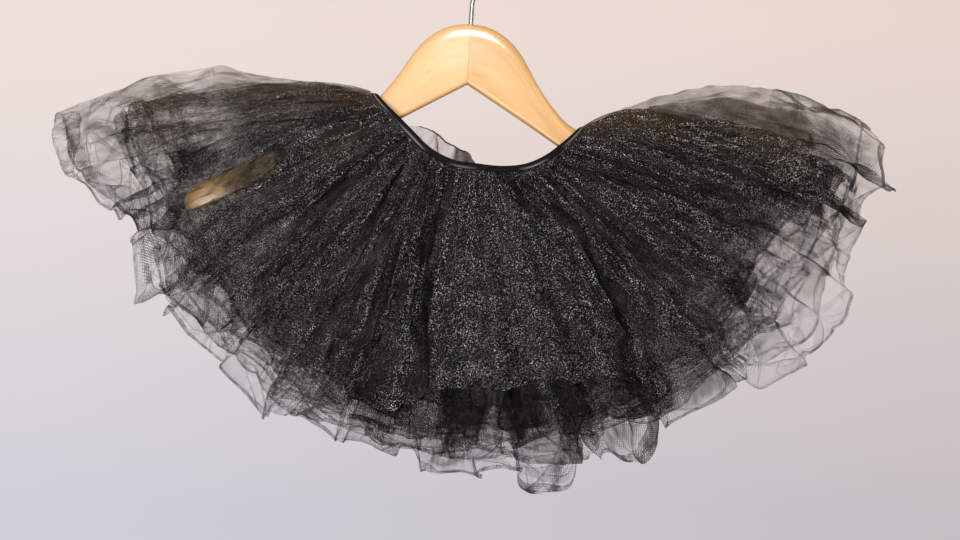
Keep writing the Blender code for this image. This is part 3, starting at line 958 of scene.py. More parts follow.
@dataclass
class NetTier:
    """One tier of gathered net, from the band's lower edge to its cut hem."""

    name: str
    layer: int
    hem: tuple[float, ...]          # its drop at HEM_PLACES
    flat: tuple[float, float]
    plies: Rows                     # place along the fan, then plies at PLY_LEVELS
    seed: int
    fan: Fan = field(default_factory=Fan)
    folds: Folds = field(default_factory=Folds)
    columns: int = 960
    rows: int = 80
    even_drop: float = 140.0        # where the columns stand at even distances
    seam_gap: float = 0.35
    gap_waist: float = 1.45         # between two tiers
    gap_hem: float = 6.5
    scallop: float = 3.5            # how far a ruffle lowers the hem
    pleats: tuple[int, ...] = (58, 131)
    lean: float = 1.15              # how far a pleat leans over, in widths of its wave
    steep: float = 0.17             # a narrow pleat's height, in widths of its wave
    wide: float = 34.0              # the width at which a pleat has half that height
    crumple: float = 6.5
    crumples: tuple[tuple[str, int, int, float], ...] = (
        ("fold_wide", 46, 6, 0.60), ("fold_fine", 112, 12, 0.27))  # cells round and down, size
    pressed: float = 1.0            # strength of the bends
    bends: tuple[Bend, ...] = (Bend(21, 1.1, 4.2, 1.0), Bend(-16, 2.0, 4.0, 0.9),
                               Bend(8, 3.6, 3.2, 0.8))
    one_layer: float = 0.19         # cover of one layer of net
    panel: Panel | None = None
    roll: float = 20.0              # net rolled back under the hem, at most
    inset: tuple[float, float] = (0.0, 0.0)  # from the left and the right fold
    ply: int = 0
    thin: float = 1.0               # share of the plies
    creases: tuple[Crease, ...] = ()
    bunches: tuple[Bunch, ...] = ()
    tongues: tuple[Tongue, ...] = ()
    shades: tuple[Shade, ...] = ()
    humps: tuple[Hump, ...] = ()
    stills: tuple[Shade, ...] = ()  # where the net hangs smooth, in one layer

    def hem_drop(self, turn: Array, u: Array) -> Array:
        """Drop of the hem: its table along the fan, the ruffles' scallops, and uneven tongues."""
        place = np.cos(turn)
        drop = smooth_table(np.array(HEM_PLACES), np.array(self.hem), place)
        if self.panel:
            drop = self.panel.hem(turn, drop)
        ragged = 5.0 * drift(self.seed + 7, 46, 1, u) + 2.5 * drift(self.seed + 8, 110, 1, u)
        calm = 1.0 - 0.85 * eased((-place - 0.72) / 0.12)
        for spot in self.stills:
            calm = calm * (1.0 + spot.plies * spot.across(place))
        drop = drop + calm * (self.scallop * self.folds.ruffle(u * TURN, 1.0) + ragged)
        return drop + sum(tongue.drop(turn) for tongue in self.tongues)

    def smoothed(self, turn: Array) -> Array:
        """How far the domed panel smooths out the finer folds: 1 in its middle."""
        return np.sqrt(self.panel.share(turn)) if self.panel else np.zeros(turn.shape)

    def stand(self) -> Stand:
        """The points on the smooth fan, with the hem's last stretch rolled back in places."""
        u = (np.arange(self.columns) / self.columns)[None, :]
        v = np.linspace(0.0, 1.0, self.rows)[:, None]
        turn = self.fan.even_turns(self.columns, self.even_drop)[None, :]
        hem = self.hem_drop(turn, u)
        roll = self.roll * eased(1.6 * drift(self.seed + 3, 26, 1, u) + 0.25)
        length = v * (hem + (0.0 if self.panel else roll) + 2.0)
        past = length - (hem - 2.2)
        drop = np.maximum(hem - np.sqrt(past**2 + 5.0), 0.0)
        drop = self.seam_gap + drop - drop[:1]
        u, v, turn = (np.broadcast_to(value, drop.shape) for value in (u, v, turn))
        along = np.cos(turn)
        inset = np.where(along < 0.0, *self.inset) * eased(drop / 120.0) * np.abs(along)**3
        base = self.fan.surface(turn, drop, inset)
        place = along * (1.0 - inset)
        still = np.ones(drop.shape)
        for spot in self.stills:
            still *= 1.0 + spot.plies * spot.depth(turn, place, drop)
        return Stand(u=u, v=v, turn=turn, place=place, drop=drop, length=length,
                     rolled=eased(past / 9.0), inset=inset, base=base,
                     ring=np.linalg.norm(np.diff(base, axis=1), axis=2).sum(axis=1)[:, None],
                     grown=np.clip(drop / self.fan.reach, 0.0, 1.0), still=still,
                     tame=(1.0 - 0.75 * eased((-along - 0.75) / 0.15)) * still)

    def waves(self, at: Stand) -> tuple[Array, Array, Array]:
        """The shared folds and ruffles, and two sets of finer pleats.

        Each wave moves the net out, and a quarter late sideways, so that the steeper pleats
        lean over and lie on themselves.

        Args:
            at: where the points stand.

        Returns:
            How far out, how far sideways, and how near a crest each point is, which the finish
            turns into painted highlights on crests and painted shade in valleys.
        """
        step = at.u * TURN
        calm = self.folds.side_calm + (1.0 - self.folds.side_calm) * np.sin(at.turn)**2
        ruffle = self.folds.ruffle_hem * at.grown**self.folds.ruffle_growth * (0.4 + 0.6 * at.still)
        out = (self.layer * (self.gap_waist + (self.gap_hem - self.gap_waist) * at.grown)
               + ruffle * calm * self.folds.ruffle(step, at.grown)
               + self.folds.rise(at.turn, at.grown, at.drop))
        if self.panel:
            out += self.panel.rise(at)
        out += 3.2 * at.rolled * np.sign(drift(self.seed + 4, 9, 1, at.u) + 0.1)
        bite = self.folds.strength(step) * (0.7 + 0.8 * at.drift(self.seed + 1, 17, 3))
        aside = (self.lean * at.ring / self.folds.ruffles / TURN * at.grown**1.5 * bite * at.tame
                 * np.sin(self.folds.phase(step, at.grown) + 1.2))
        lift = np.zeros(at.drop.shape)
        for number, count in enumerate(self.pleats):
            seed = self.seed + 10 * (number + 1)
            wave = at.ring / count
            bend = count * step + 2.6 * at.drift(seed, 13 + 9 * number, 3)
            bend = bend + 0.9 * at.drift(seed + 1, 41, 5)
            force = np.clip(0.55 + 0.9 * at.drift(seed + 2, 23 + 20 * number, 4), 0.0, 1.3)
            force = force * (1.0 - 0.92 * self.smoothed(at.turn) * eased(at.drop / 50.0))
            crest = force * (np.sin(bend) + 0.3 * np.sin(2.0 * bend + 0.6))
            out += wave * (self.steep - 0.03 * number) / (1.0 + wave / self.wide) * crest
            # crest heights for the finish: painted highlights on crests, painted shade in valleys
            lift += crest * (0.7 - 0.2 * number)
            aside += self.lean * wave / TURN * force * np.sin(bend + 1.3) * (0.3 + 0.7 * at.still)
        return out, aside, lift

    def placed(self, at: Stand) -> tuple[Array, Array, Array, Array]:
        """What the creases, spots, strands and humps with places of their own do.

        Args:
            at: where the points stand.

        Returns:
            How far out, the painted shade as a fall in how near a crest, the plies added, and the
            share of net that is kept.
        """
        out, lift, plies = np.zeros((3, *at.drop.shape))
        kept = np.ones(at.drop.shape)
        # a crease's shade is painted: it lowers lift, so the net is darker and without highlights
        # there
        for crease in self.creases:
            moved, shade = crease.offsets(at.turn, at.place, at.drop)
            out += moved
            lift -= 2.2 * shade
        for shade in self.shades:
            depth = shade.depth(at.turn, at.place, at.drop)
            # a spot that adds plies also gets painted shade
            lift -= 3.0 * depth * (shade.plies > 0.0)
            plies += max(shade.plies, 0.0) * depth
            kept *= 1.0 + min(shade.plies, 0.0) * depth
        for number, bunch in enumerate(self.bunches):
            wander = 3.2 * at.drift(self.seed + 400 + number, 60, 12)
            strand = bunch.depth(at.turn, at.place, at.drop, wander)
            strand *= 0.75 + 0.9 * at.drift(self.seed + 430 + number, 90, 16)
            # a strand gets painted shade along it, as strong as its ridge
            out += 1.3 * bunch.dull * strand
            lift -= bunch.dull * strand
            plies += bunch.plies * strand
        for hump in self.humps:
            out += hump.rise(at.turn, at.drop)
        return out, lift, plies, kept

    def crumpled(self, at: Stand, kept: Array) -> tuple[Array, Array, dict[str, Array]]:
        """Families of pressed folds that cross, and crumple that grows towards the hem.

        A pressed fold is a rounded triangle wave over its family's own lines.

        Args:
            at: where the points stand.
            kept: share of the net that is kept.

        Returns:
            How far out, how far along and down, and the distances from the folds' lines.
        """
        calm = self.smoothed(at.turn)
        pressed = eased((at.v - 0.15) / 0.45) * kept * (0.4 + 0.6 * at.still)
        loose = eased((at.v - 0.30) / 0.65) * (1.0 - 0.75 * calm) * at.tame * kept
        out, slid, marks = np.zeros(at.drop.shape), np.zeros((2, *at.drop.shape)), {}
        for number, bend in enumerate(self.bends):
            seed = self.seed + 500 + 10 * number
            crossed = TURN * bend.crossed(seed, at.u, at.v)
            amount = np.clip(0.25 + 1.7 * at.drift(seed + 2, 24, 2), 0.0, 1.1)
            amount = amount * bend.amount * self.pressed * (1.0 - 0.9 * calm)
            steps = bend.around / at.ring, bend.down / np.maximum(at.length[-1:], 1.0)
            out += bend.height * amount * pressed * np.arcsin(0.985 * np.sin(crossed)) / 1.4
            marks[f"bend_{number}"] = np.cos(crossed) / np.hypot(*steps) / TURN / (amount + 0.04)
        for number, (name, cells, down, size) in enumerate(self.crumples):
            seed = self.seed + 50 + 5 * number
            waves = [at.drift(seed + each, cells, down) for each in range(3)]
            reach = self.crumple * size * loose
            out += reach * 0.75 * creased(waves[0])
            slid += reach * np.stack((2.2 * waves[1], 1.5 * waves[2]))
            marks[name] = waves[0]
        return out, slid, marks

    def points(self) -> tuple[Array, Array, dict[str, Array]]:
        """The tier's surface and how closely its threads lie.

        A point stands on the fan at its turn and drop, and is moved out of the fan, round it
        and down it by all the waves. The marks are "cover", the threads' share; "lift", how
        near a crest, lowered by painted shade, which the finish turns into painted highlights on
        crests and painted shade in valleys; "loose", how freely the net folds; "even", where the
        map isn't too stretched for threads; "warm", where painted warm light browns the net; and
        the distances from the folds.

        Returns:
            Points in millimetres, their flat places, and the marks that the finish reads.
        """
        at = self.stand()
        out, aside, lift = self.waves(at)
        moved, raised, plies, kept = self.placed(at)
        bent, slid, marks = self.crumpled(at, kept)
        round_it, down_it, normal = self.fan.directions(at.turn, at.drop, at.inset)
        points = (at.base + normal * (out + moved + bent)[..., None]
                  + round_it * (aside + slid[0])[..., None] + down_it * slid[1][..., None])
        flat = measured(points, True)
        flat[:, :-1] += 0.7 * np.moveaxis(slid, 0, -1)
        flat[:, -1] += 0.7 * slid[:, :, 0].T
        real = np.linalg.norm(np.roll(points, -1, axis=1) - points, axis=-1)
        laid = np.linalg.norm(np.diff(flat, axis=1), axis=-1)
        pulled = np.abs(np.log(np.maximum(real, 0.05) / np.maximum(laid, 0.05)))
        # painted warm light: a brownish tint towards the fan's ends, fading lower down, not the
        # net's own colour
        warm = eased((np.abs(at.place) - 0.80) / 0.16) * (1.0 - eased((at.drop - 170.0) / 60.0))
        marks |= {"lift": lift + raised, "loose": eased((at.v - 0.30) / 0.50) * kept,
                  "cover": self.cover(at, points, normal, plies, kept),
                  "even": 1.0 - eased((pulled - 0.45) / 0.45),
                  "warm": warm * (0.75 + 0.6 * at.drift(self.seed + 12, 30, 4))}
        return points, flat, marks

    def cover(self, at: Stand, points: Array, normal: Array, more: Array, kept: Array) -> Array:
        """Share of the surface that threads cover.

        It is 1 - (1 - c)^k: c is one layer's cover, and k is the number of layers, which grows
        where the net is gathered, where it stands steeply, along a crease and at the cut edge.

        Args:
            at: where the points stand.
            points: the tier's points.
            normal: the smooth fan's normals.
            more: plies added in hollows and strands.
            kept: share of the net left where it parts.

        Returns:
            A share for each point.
        """
        own = grid_normals(points, True)
        bent = np.linalg.norm(own - np.roll(own, 1, axis=1), axis=-1)
        bent = np.maximum(bent, np.linalg.norm(np.diff(own, axis=0, append=own[-1:]), axis=-1))
        stations, *tables = np.array(self.plies).T
        levels = [np.interp(np.cos(at.turn), stations, table) for table in tables]
        plies = levels[0]
        for first, last, start, end in zip(levels, levels[1:], PLY_LEVELS, PLY_LEVELS[1:]):
            plies = plies + (last - first) * eased((at.v - start) / (end - start))
        bunched = 0.55 * at.drift(901, 52, 3) + 0.45 * at.drift(902, 118, 4)
        bunched = bunched + 0.5 * at.drift(self.seed + 9, 70, 5)
        bunched = np.exp(bunched * (1.0 - self.smoothed(at.turn)))
        plies = self.thin * plies * bunched * kept + more
        plies = plies * steepness(own, normal, 0.22)**0.75 + 1.1 * np.clip(bent - 0.25, 0.0, 1.2)
        return 1.0 - (1.0 - self.one_layer)**(plies + 2.2 * eased((at.v - 0.994) / 0.006))

    def build(self, finish: Material) -> Thing:
        """Make the tier in place of its solid."""
        points, flat, marks = self.points()
        name = self.name + ("_cloth" if self.ply == 0 else f"_ply_{self.ply}")
        cloth = grid_object(name, points, flat, True, finish, marks)
        stand_in(cloth, self.name, self.name)
        return cloth


# ---- the band and the net's heading -------------------------------------------------------------
@dataclass
class Waistband:
    """The narrow elastic that the three tiers are sewn to."""

    fan: Fan = field(default_factory=Fan)
    width: float = 6.0
    thick: float = 2.6
    corner: float = 0.45            # power of the section's superellipse
    edge: float = 0.1
    out: float = 1.45               # how far its middle is out of the fan
    stations: int = 1000
    sides: int = 24
    pulls: int = 150                # all round
    cords: int = 6                  # across

    def build(self, finish: Material) -> Thing:
        """A rounded oblong carried round the waist.

        The section is a superellipse; its face rises and falls with the elastic's short pulls
        along it and its cords across it.

        Args:
            finish: the elastic's material.

        Returns:
            The band.
        """
        turn = self.fan.even_turns(self.stations, 0.0)[:, None]
        angle = ring_angles(self.sides)[None, :]
        across, up = powered(np.cos(angle), self.corner), powered(np.sin(angle), self.corner)
        u = np.arange(self.stations)[:, None] / self.stations
        pull = np.sin(TURN * self.pulls * u + 1.5 * np.sin(TURN * 9 * u))
        cord = np.cos(self.cords * math.pi * across)
        drop = -self.edge - self.width / 2 + across * (self.width / 2 - 0.12 - 0.10 * pull**2)
        turn, drop = np.broadcast_arrays(turn, drop)
        normal = self.fan.directions(turn, drop)[2]
        depth = self.out + up * (self.thick / 2 - 0.16 + 0.10 * pull + 0.07 * cord)
        points = np.swapaxes(self.fan.surface(turn, drop) + normal * depth[..., None], 0, 1)
        points = np.concatenate((points, points[:1]), axis=0)
        # painted highlight: a line near one edge, on one face of the band
        painted_highlight_line = (bell((across - 0.62) / 0.13) * (up > 0.0)).T
        band = grid_object("waistband_elastic", points, measured(points, True), True, finish,
                           {"painted_highlight_line": np.concatenate((painted_highlight_line, painted_highlight_line[:1]), axis=0)})
        return stand_in(band, "waistband", "elastic")


@dataclass
class NetHeading:
    """The scrap of net that stands up from the back of the band."""

    fan: Fan = field(default_factory=Fan)
    heights: Rows = ((-0.66, 2.0), (-0.60, 7.0), (-0.50, 12.0), (-0.40, 14.0), (-0.28, 13.0),
                     (-0.18, 13.0), (-0.10, 11.5), (-0.02, 9.5), (0.03, 3.0))
    band_top: float = 6.45
    unit_place: float = 112.0       # millimetres along the waist for one unit of place
    out: float = 1.45
    fold: float = 1.3
    creases: Rows = ((-0.30, -0.12), (-0.156, 0.026), (0.012, -0.035))  # place, and its lean
    columns: int = 220
    rows: int = 26

    def build(self, finish: Material) -> Thing:
        """A gathered edge: it rises from the band and waves more towards its free top."""
        table = np.array(self.heights)
        place = np.linspace(table[0, 0], table[-1, 0], self.columns)[None, :]
        v = np.linspace(0.0, 1.0, self.rows)[:, None]
        drop = -self.band_top - v * smooth_table(table[:, 0], table[:, 1], place)
        u, v = np.broadcast_arrays(np.linspace(0.0, 1.0, self.columns)[None, :], v)
        turn = np.broadcast_to(np.arccos(place), drop.shape)
        wave = np.sin(21.0 * 1.3 * u) + 0.35 * np.sin(71.0 * u + 2.0)
        fine = drift(5, 24, 3, u, v)
        out = self.out + v * self.fold * wave + 0.3 * v * creased(fine)
        aside = 1.2 * v * drift(6, 16, 2, u, v)
        round_it, _, normal = self.fan.directions(turn, drop)
        points = (self.fan.surface(turn, drop) + normal * out[..., None]
                  + round_it * aside[..., None])
        lines = {f"bend_{number}": self.unit_place * (place - middle - lean * v)
                 for number, (middle, lean) in enumerate(self.creases)}
        plies = (1.3 * steepness(grid_normals(points, False), normal, 0.25)
                 + 14.0 * eased((v - 0.88) / 0.06) + 8.0 * eased((place + 0.19) / 0.05)
                 + 4.0 * eased((0.12 - v) / 0.12)
                 + 5.0 * bell(lines["bend_0"] / self.unit_place / 0.011))
        # painted light on the scrap: lift below 0 darkens it with painted shade, lighter on its
        # waves, and warm browns it with painted warm light
        marks = {"cover": 1.0 - 0.81**plies, "fold_fine": fine, "lift": 0.6 * wave - 0.8,
                 "fold_wide": 1.0, "loose": 1.0, "even": 1.0, "warm": 0.8}
        scrap = grid_object("net_heading_scrap", points, measured(points, False), False, finish,
                            marks | lines)
        stand_in(scrap, "net_heading", "net_heading")
        return scrap


# ---- the hanger ---------------------------------------------------------------------------------
@dataclass
class Hanger:
    """A wooden coat hanger of two boards and a wire hook, tilted with its right arm lower."""

    tilt: float = 3.5
    top: float = -69.5
    thick: float = 12.0
    round_top: float = 10.0
    round_under: float = 1.0
    corner: float = 0.62            # power of the section's superellipse, across the board
    closing: float = 0.012          # share of the arm's length over which its tip closes
    joint: float = 0.11
    upper: Rows = ((0.0, 0.0), (13.0, 1.5), (24.5, 6.2), (35.0, 14.0), (43.0, 23.0), (49.5, 33.0),
                   (55.5, 43.0), (63.5, 54.5), (72.5, 65.5), (82.0, 75.0), (94.0, 82.5),
                   (130.0, 100.5), (175.0, 123.0), (212.0, 141.5))
    tip: Rows = ((221.0, 148.0), (225.0, 158.0), (222.0, 166.0))
    lower: Rows = ((210.0, 162.5), (175.0, 145.0), (130.0, 122.5), (82.0, 98.0), (53.0, 80.5),
                   (0.0, 49.2))
    stations: int = 150
    sides: int = 48
    wire: float = 3.8
    hook_inside: float = 40.0
    hook_start: float = -52.0
    hook_end: float = 205.0
    shank_top: float = -55.0
    shank_foot: float = -95.2       # in the wood

    def hung(self, points: Array) -> Array:
        """Points turned by the tilt about the hook's top."""
        angle = math.radians(self.tilt)
        across, depth, height = np.moveaxis(points, -1, 0)
        return np.stack((across * math.cos(angle) + height * math.sin(angle), depth,
                         height * math.cos(angle) - across * math.sin(angle)), axis=-1)

    def arm(self, name: str, side: int, finish: Material) -> Thing:
        """One board: an oblong section with round corners, carried between its two edges.

        The upper and lower edges are each parted into the same number of stretches. The
        section between a pair of points is a superellipse, and its thickness closes to
        nothing at the tip as the square root of the way left.

        Args:
            name: of the piece.
            side: -1 for the left arm and 1 for the right.
            finish: its wood.

        Returns:
            The board.
        """
        share = np.concatenate(([0.0, 0.0008], np.linspace(0.003, 1.0, self.stations - 2)))
        edges = []
        for rows in (self.upper + self.tip[:2], self.lower[::-1] + self.tip[:0:-1]):
            rows = np.array(rows)
            along = lengths(rows)
            edges.append(np.stack([smooth_table(along, column, share * along[-1])
                                   for column in rows.T], axis=-1))
        high, low = edges
        middle, half = (high + low) / 2, (high - low) / 2
        angle = ring_angles(self.sides)
        size = np.linalg.norm(half, axis=1, keepdims=True)
        rounding = np.where(np.sin(angle) > 0.0, self.round_top, self.round_under)
        rise = powered(np.sin(angle), np.clip(rounding / size, 0.10, 1.0))
        ending = np.sqrt(np.clip((1.0 - share) / self.closing, 0.0, 1.0))[:, None]
        deep = powered(np.cos(angle), self.corner) * self.thick / 2 * ending
        flat = middle[:, None] + half[:, None] * rise[..., None]
        out = np.maximum(flat[..., 0], self.joint / 2)
        points = self.hung(np.stack((side * out, deep, self.top - flat[..., 1]), axis=-1))
        girth = np.append(angle, TURN)
        across = size * np.sin(girth) + 40.0 * (np.cos(girth) < 0) + 60.0
        cloth = np.stack(np.broadcast_arrays(lengths(middle)[:, None], across), axis=-1)
        order = slice(None, None, -1 if side > 0 else 1)
        board = grid_object(name + "_board", points[:, order], cloth[:, order], True, finish,
                            caps=True)
        return stand_in(board, name, "wood")

    def hook(self, finish: Material) -> Thing:
        """The wire: straight out of the wood, a Bezier bend aside, and a round hook."""
        radius = (self.hook_inside + self.wire) / 2
        angles = np.radians(np.linspace(self.hook_start, self.hook_end, 90))
        arc = radius * np.stack((np.cos(angles), np.sin(angles)), axis=1)
        arc[:, 1] -= self.hook_inside / 2
        start = np.array((0.0, self.shank_top))
        heading = np.array((-math.sin(angles[0]), math.cos(angles[0])))
        pull = 0.5 * np.linalg.norm(arc[0] - start)
        part = np.linspace(0.0, 1.0, 24)[:-1, None]
        controls = (start, start + (0.0, pull), arc[0] - pull * heading, arc[0])
        weights = ((1 - part)**3, 3 * part * (1 - part)**2, 3 * part**2 * (1 - part), part**3)
        bend = sum(weight * control for weight, control in zip(weights, controls))
        shank = np.linspace((0.0, self.shank_foot), start, 11)[:-1]
        across, height = np.concatenate((shank, bend, arc)).T
        path = self.hung(np.stack((across, 0.0 * across, height), axis=1))
        size = np.full(len(path), self.wire / 2)
        size[-2:] *= (0.85, 0.45)
        points = tube(path, size, 20)
        wire = grid_object("hook_wire", points, measured(points, True), True, finish, caps=True)
        return stand_in(wire, "hanger_hook", "wire")


# ---- the studio ---------------------------------------------------------------------------------
@dataclass
class Studio:
    """A pale room: soft light from near the camera, a plain floor, and the camera."""

    camera_place: Triple = (0.00328, -1.0933, -0.2706)
    lens: float = 50.0
    floor_height: float = -800.0
    floor_radius: float = 1150.0
    warm: Triple = (0.870, 0.752, 0.706)
    warm_right: Triple = (0.807, 0.679, 0.624)
    cool: Triple = (0.630, 0.630, 0.700)
    cool_right: Triple = (0.565, 0.520, 0.545)
    strength: float = 1.0           # of the surround, as the camera sees it
    fill: float = 0.55              # and as the net and the wood do
    lamp_tint: Triple = (1.0, 0.97, 0.93)

    def build(self) -> None:
        """Put in the world, the lights, the floor and the camera."""
        scene = bpy.context.scene
        scene.view_settings.view_transform = "Standard"
        scene.cycles.transparent_max_bounces = 48
        self.world(scene)
        self.light("key", (-0.35, -1.5, -0.55), (0.0, 0.0, -0.28), 0.6, 17.5)
        self.light("top", (0.03, -1.20, 0.44), (0.0, 0.0, -0.20), 0.30, 11.0)
        self.light("lamp", (-0.020, -1.50, 0.135), (0.0, 0.0, -0.20), 0.14, 0.35)
        self.floor()
        data = bpy.data.cameras.new("camera")
        data.lens = self.lens
        data.sensor_width = 36.0
        camera = bpy.data.objects.new("camera", data)
        camera.location = self.camera_place
        camera.rotation_euler = (math.radians(90.0), 0.0, 0.0)
        scene.collection.objects.link(camera)
        scene.camera = camera

    def floor(self) -> None:
        """A round floor, as rings from its middle."""
        radius = np.linspace(1.0, self.floor_radius, 8)[:, None]
        angle = -ring_angles(64)[None, :]
        points = np.stack(np.broadcast_arrays(radius * np.cos(angle), radius * np.sin(angle),
                                              self.floor_height), axis=-1)
        paint = FloorPaint().material()
        grid_object("floor", points, np.zeros((8, 65, 2)), True, paint)

    def world(self, scene: bpy.types.Scene) -> None:
        """A pale surround, warmer above and a little darker to the right."""
        world = bpy.data.worlds.new("pale_room")
        world.use_nodes = True
        scene.world = world
        graph = Graph(world.node_tree)
        place = graph.add("TexCoord", {}, "Generated")
        height = graph.ramp(graph.part(place, 2), -0.17, 0.17, kind="LINEAR")
        right = graph.ramp(graph.part(place, 0), -0.32, 0.32, kind="LINEAR")
        colour = graph.mix(right, graph.mix(height, self.cool, self.warm),
                           graph.mix(height, self.cool_right, self.warm_right))
        seen = graph.add("LightPath", {}, "Is Camera Ray")
        strength = graph.math("MULTIPLY_ADD", seen, self.strength - self.fill, self.fill)
        graph.fill(world.node_tree.nodes["Background"], {"Color": colour, "Strength": strength})

    def light(self, name: str, place: Triple, aim: Triple,
              size: float, power: float) -> None:
        """A square soft light, turned to face a point."""
        data = bpy.data.lights.new(name, "AREA")
        data.size = size
        data.energy = power
        data.color = self.lamp_tint
        lamp = bpy.data.objects.new(name, data)
        lamp.location = place
        lamp.rotation_euler = (Vector(aim) - Vector(place)).to_track_quat("-Z", "Y").to_euler()
        bpy.context.scene.collection.objects.link(lamp)


# ---- this skirt's own places: across the fan from -1 to 1, and millimetres down from the band ----
FRONT, BOTH, BACK = Side


def strands(*rows: tuple) -> tuple[Bunch, ...]:
    """Bunches, by side, half width, plies and the points of their lines."""
    return tuple(Bunch(Line(side, through), width, plies) for side, width, plies, through in rows)


def spots(side: Side, *rows: tuple[float, ...]) -> tuple[Shade, ...]:
    """Shades, by place, half width, drop, half drop and plies."""
    return tuple(Shade(*row, side=side) for row in rows)


def shorter(hem: tuple[int, ...], cut: tuple[int, ...]) -> tuple[int, ...]:
    """The hem of a tier's second ply."""
    return tuple(drop - less for drop, less in zip(hem, cut))


HEM_PLACES = (
    -1, -0.92, -0.83, -0.75, -0.67, -0.5, -0.33, -0.17, 0, 0.08, 0.15, 0.2, 0.26, 0.31, 0.42, 0.5,
    0.67, 0.75, 0.83, 1)
UNDER_HEM = (
    261, 265, 246, 233, 245, 236, 241, 240, 244, 241, 260, 252, 238, 243, 236, 236, 267, 250, 245,
    233)
UNDER_CUT = (
    60, 55, 45, 22, 14, 12, 12, 12, 12, 12, 14, 14, 12, 14, 16, 22, 32, 30, 26, 45)
MIDDLE_HEM = (
    214, 214, 208, 213, 211, 210, 218, 222, 220, 221, 223, 223, 221, 221, 221, 220, 222, 221, 228,
    218)
MIDDLE_CUT = (
    45, 42, 34, 18, 12, 10, 10, 10, 10, 10, 12, 12, 10, 12, 14, 18, 34, 38, 34, 30)
TOP_HEM = (
    190, 180, 180, 196, 192, 200, 202, 202, 178, 177, 177, 178, 181, 190, 206, 208, 190, 182, 202,
    210)
PLY_LEVELS = (0.0, 0.38, 0.70, 1.0)  # shares of the way down, where plies are given
UNDER_PLIES = (
    (-1, 2, 1.1, 0.95, 0.95), (-0.95, 2, 1.1, 0.95, 0.9), (-0.9, 2, 1.1, 0.9, 0.85),
    (-0.6, 2.4, 1.8, 1, 0.85), (-0.15, 2.4, 2, 1.5, 1), (0.12, 2.4, 2, 1.3, 0.65),
    (0.3, 2.4, 2, 1.6, 1), (0.5, 2.4, 2, 1.4, 1), (0.6, 2.4, 2, 1.1, 0.75), (0.8, 2.4, 2, 1, 0.75),
    (0.89, 2.2, 1.9, 1.3, 0.8), (0.93, 2.4, 5, 4.5, 1.3), (0.967, 2.4, 5, 4.5, 1.3),
    (0.979, 1.6, 1, 1, 1), (1, 1.6, 0.9, 0.9, 1))
MIDDLE_PLIES = (
    (-1, 2, 1.4, 0.7, 0.7), (-0.8, 2.2, 1.6, 0.7, 0.7), (-0.6, 2.4, 2.2, 1.3, 0.8),
    (0, 2.4, 2.2, 1.7, 0.9), (0.6, 2.4, 2.2, 1.5, 0.8), (0.7, 2.2, 2, 0.9, 0.7),
    (0.85, 2.2, 2, 1.7, 1.2), (0.92, 2.4, 3, 4.5, 2.6), (1, 2.4, 3, 4, 2.2))
TOP_PLIES = (
    (-1, 3, 2.2, 0.8, 0.7), (-0.85, 3, 2.4, 0.7, 0.6), (-0.7, 3.5, 3.2, 1.6, 0.9),
    (-0.5, 4, 4, 3.2, 1.3), (-0.28, 4, 4, 3.4, 1.6), (-0.16, 4.5, 4.5, 4.5, 4.5),
    (0.33, 4.5, 4.5, 4.5, 4.5), (0.45, 4, 4, 3.6, 2), (0.58, 4, 4, 3.2, 1.4),
    (0.68, 4, 3.6, 1.8, 0.8), (0.83, 4, 4, 2.8, 1.2), (0.9, 4, 4, 3.8, 2.6), (1, 3.8, 3.8, 3.4, 2))
CREASES = tuple(Crease(Line(side, through), width, rise, edge)
                for side, width, rise, edge, through in (
    (FRONT, 5, 6, 2, ((0.33, 8), (0.41, 35), (0.445, 60), (0.415, 100), (0.375, 140), (0.335, 185),
         (0.33, 200))),
    (FRONT, 6, -4, 1, ((-0.18, 20), (-0.155, 70), (-0.135, 110), (-0.1, 150), (-0.08, 185))),
    (FRONT, 3, 2.5, 1.6, ((0.2, 4), (0.25, 24), (0.315, 40))),
    (FRONT, 5, 4, 0.6, ((-0.45, 20), (-0.39, 75), (-0.34, 135), (-0.305, 190))),
    (FRONT, 5, -4, 0.6, ((-0.32, 15), (-0.275, 70), (-0.245, 120), (-0.205, 180))),
    (FRONT, 5, 3.5, 0.6, ((-0.65, 15), (-0.585, 75), (-0.55, 125), (-0.51, 190))),
    (FRONT, 6, -4, 0.6, ((0.5, 15), (0.545, 80), (0.56, 140), (0.545, 190))),
    (FRONT, 5, 3, 0.6, ((0.63, 10), (0.7, 70), (0.735, 120), (0.745, 180))),
    (FRONT, 4, -3, 0.6, ((-0.84, 60), (-0.855, 105), (-0.87, 135), (-0.9, 180), (-0.91, 200))),
    (FRONT, 4, 3, 0.6, ((-0.9, 20), (-0.9, 80), (-0.915, 140))),
    (BACK, 6, -4, 0.6, ((-0.56, 20), (-0.52, 80), (-0.47, 140), (-0.45, 190))),
    (BACK, 5, 4.5, 0.6, ((-0.24, 15), (-0.215, 60), (-0.16, 120), (-0.13, 195))),
    (BACK, 5, -4, 0.6, ((0.11, 20), (0.14, 90), (0.125, 150), (0.09, 200))),
    (BACK, 6, 4, 0.6, ((0.37, 10), (0.42, 70), (0.44, 130), (0.41, 195))),
    (BACK, 5, -3.5, 0.6, ((0.66, 15), (0.7, 90), (0.69, 165))),
))
TOP_BUNCHES = strands(
    (FRONT, 3, 2.5, ((-0.955, 60), (-0.95, 125), (-0.95, 190))),
    (FRONT, 3, 3, ((0.95, 60), (0.93, 120), (0.92, 190))),
    (FRONT, 1.7, 3, ((-0.72, 158), (-0.74, 134), (-0.765, 111), (-0.77, 88))),
    (FRONT, 1.4, 2.5, ((-0.74, 166), (-0.753, 140), (-0.763, 126))),
)
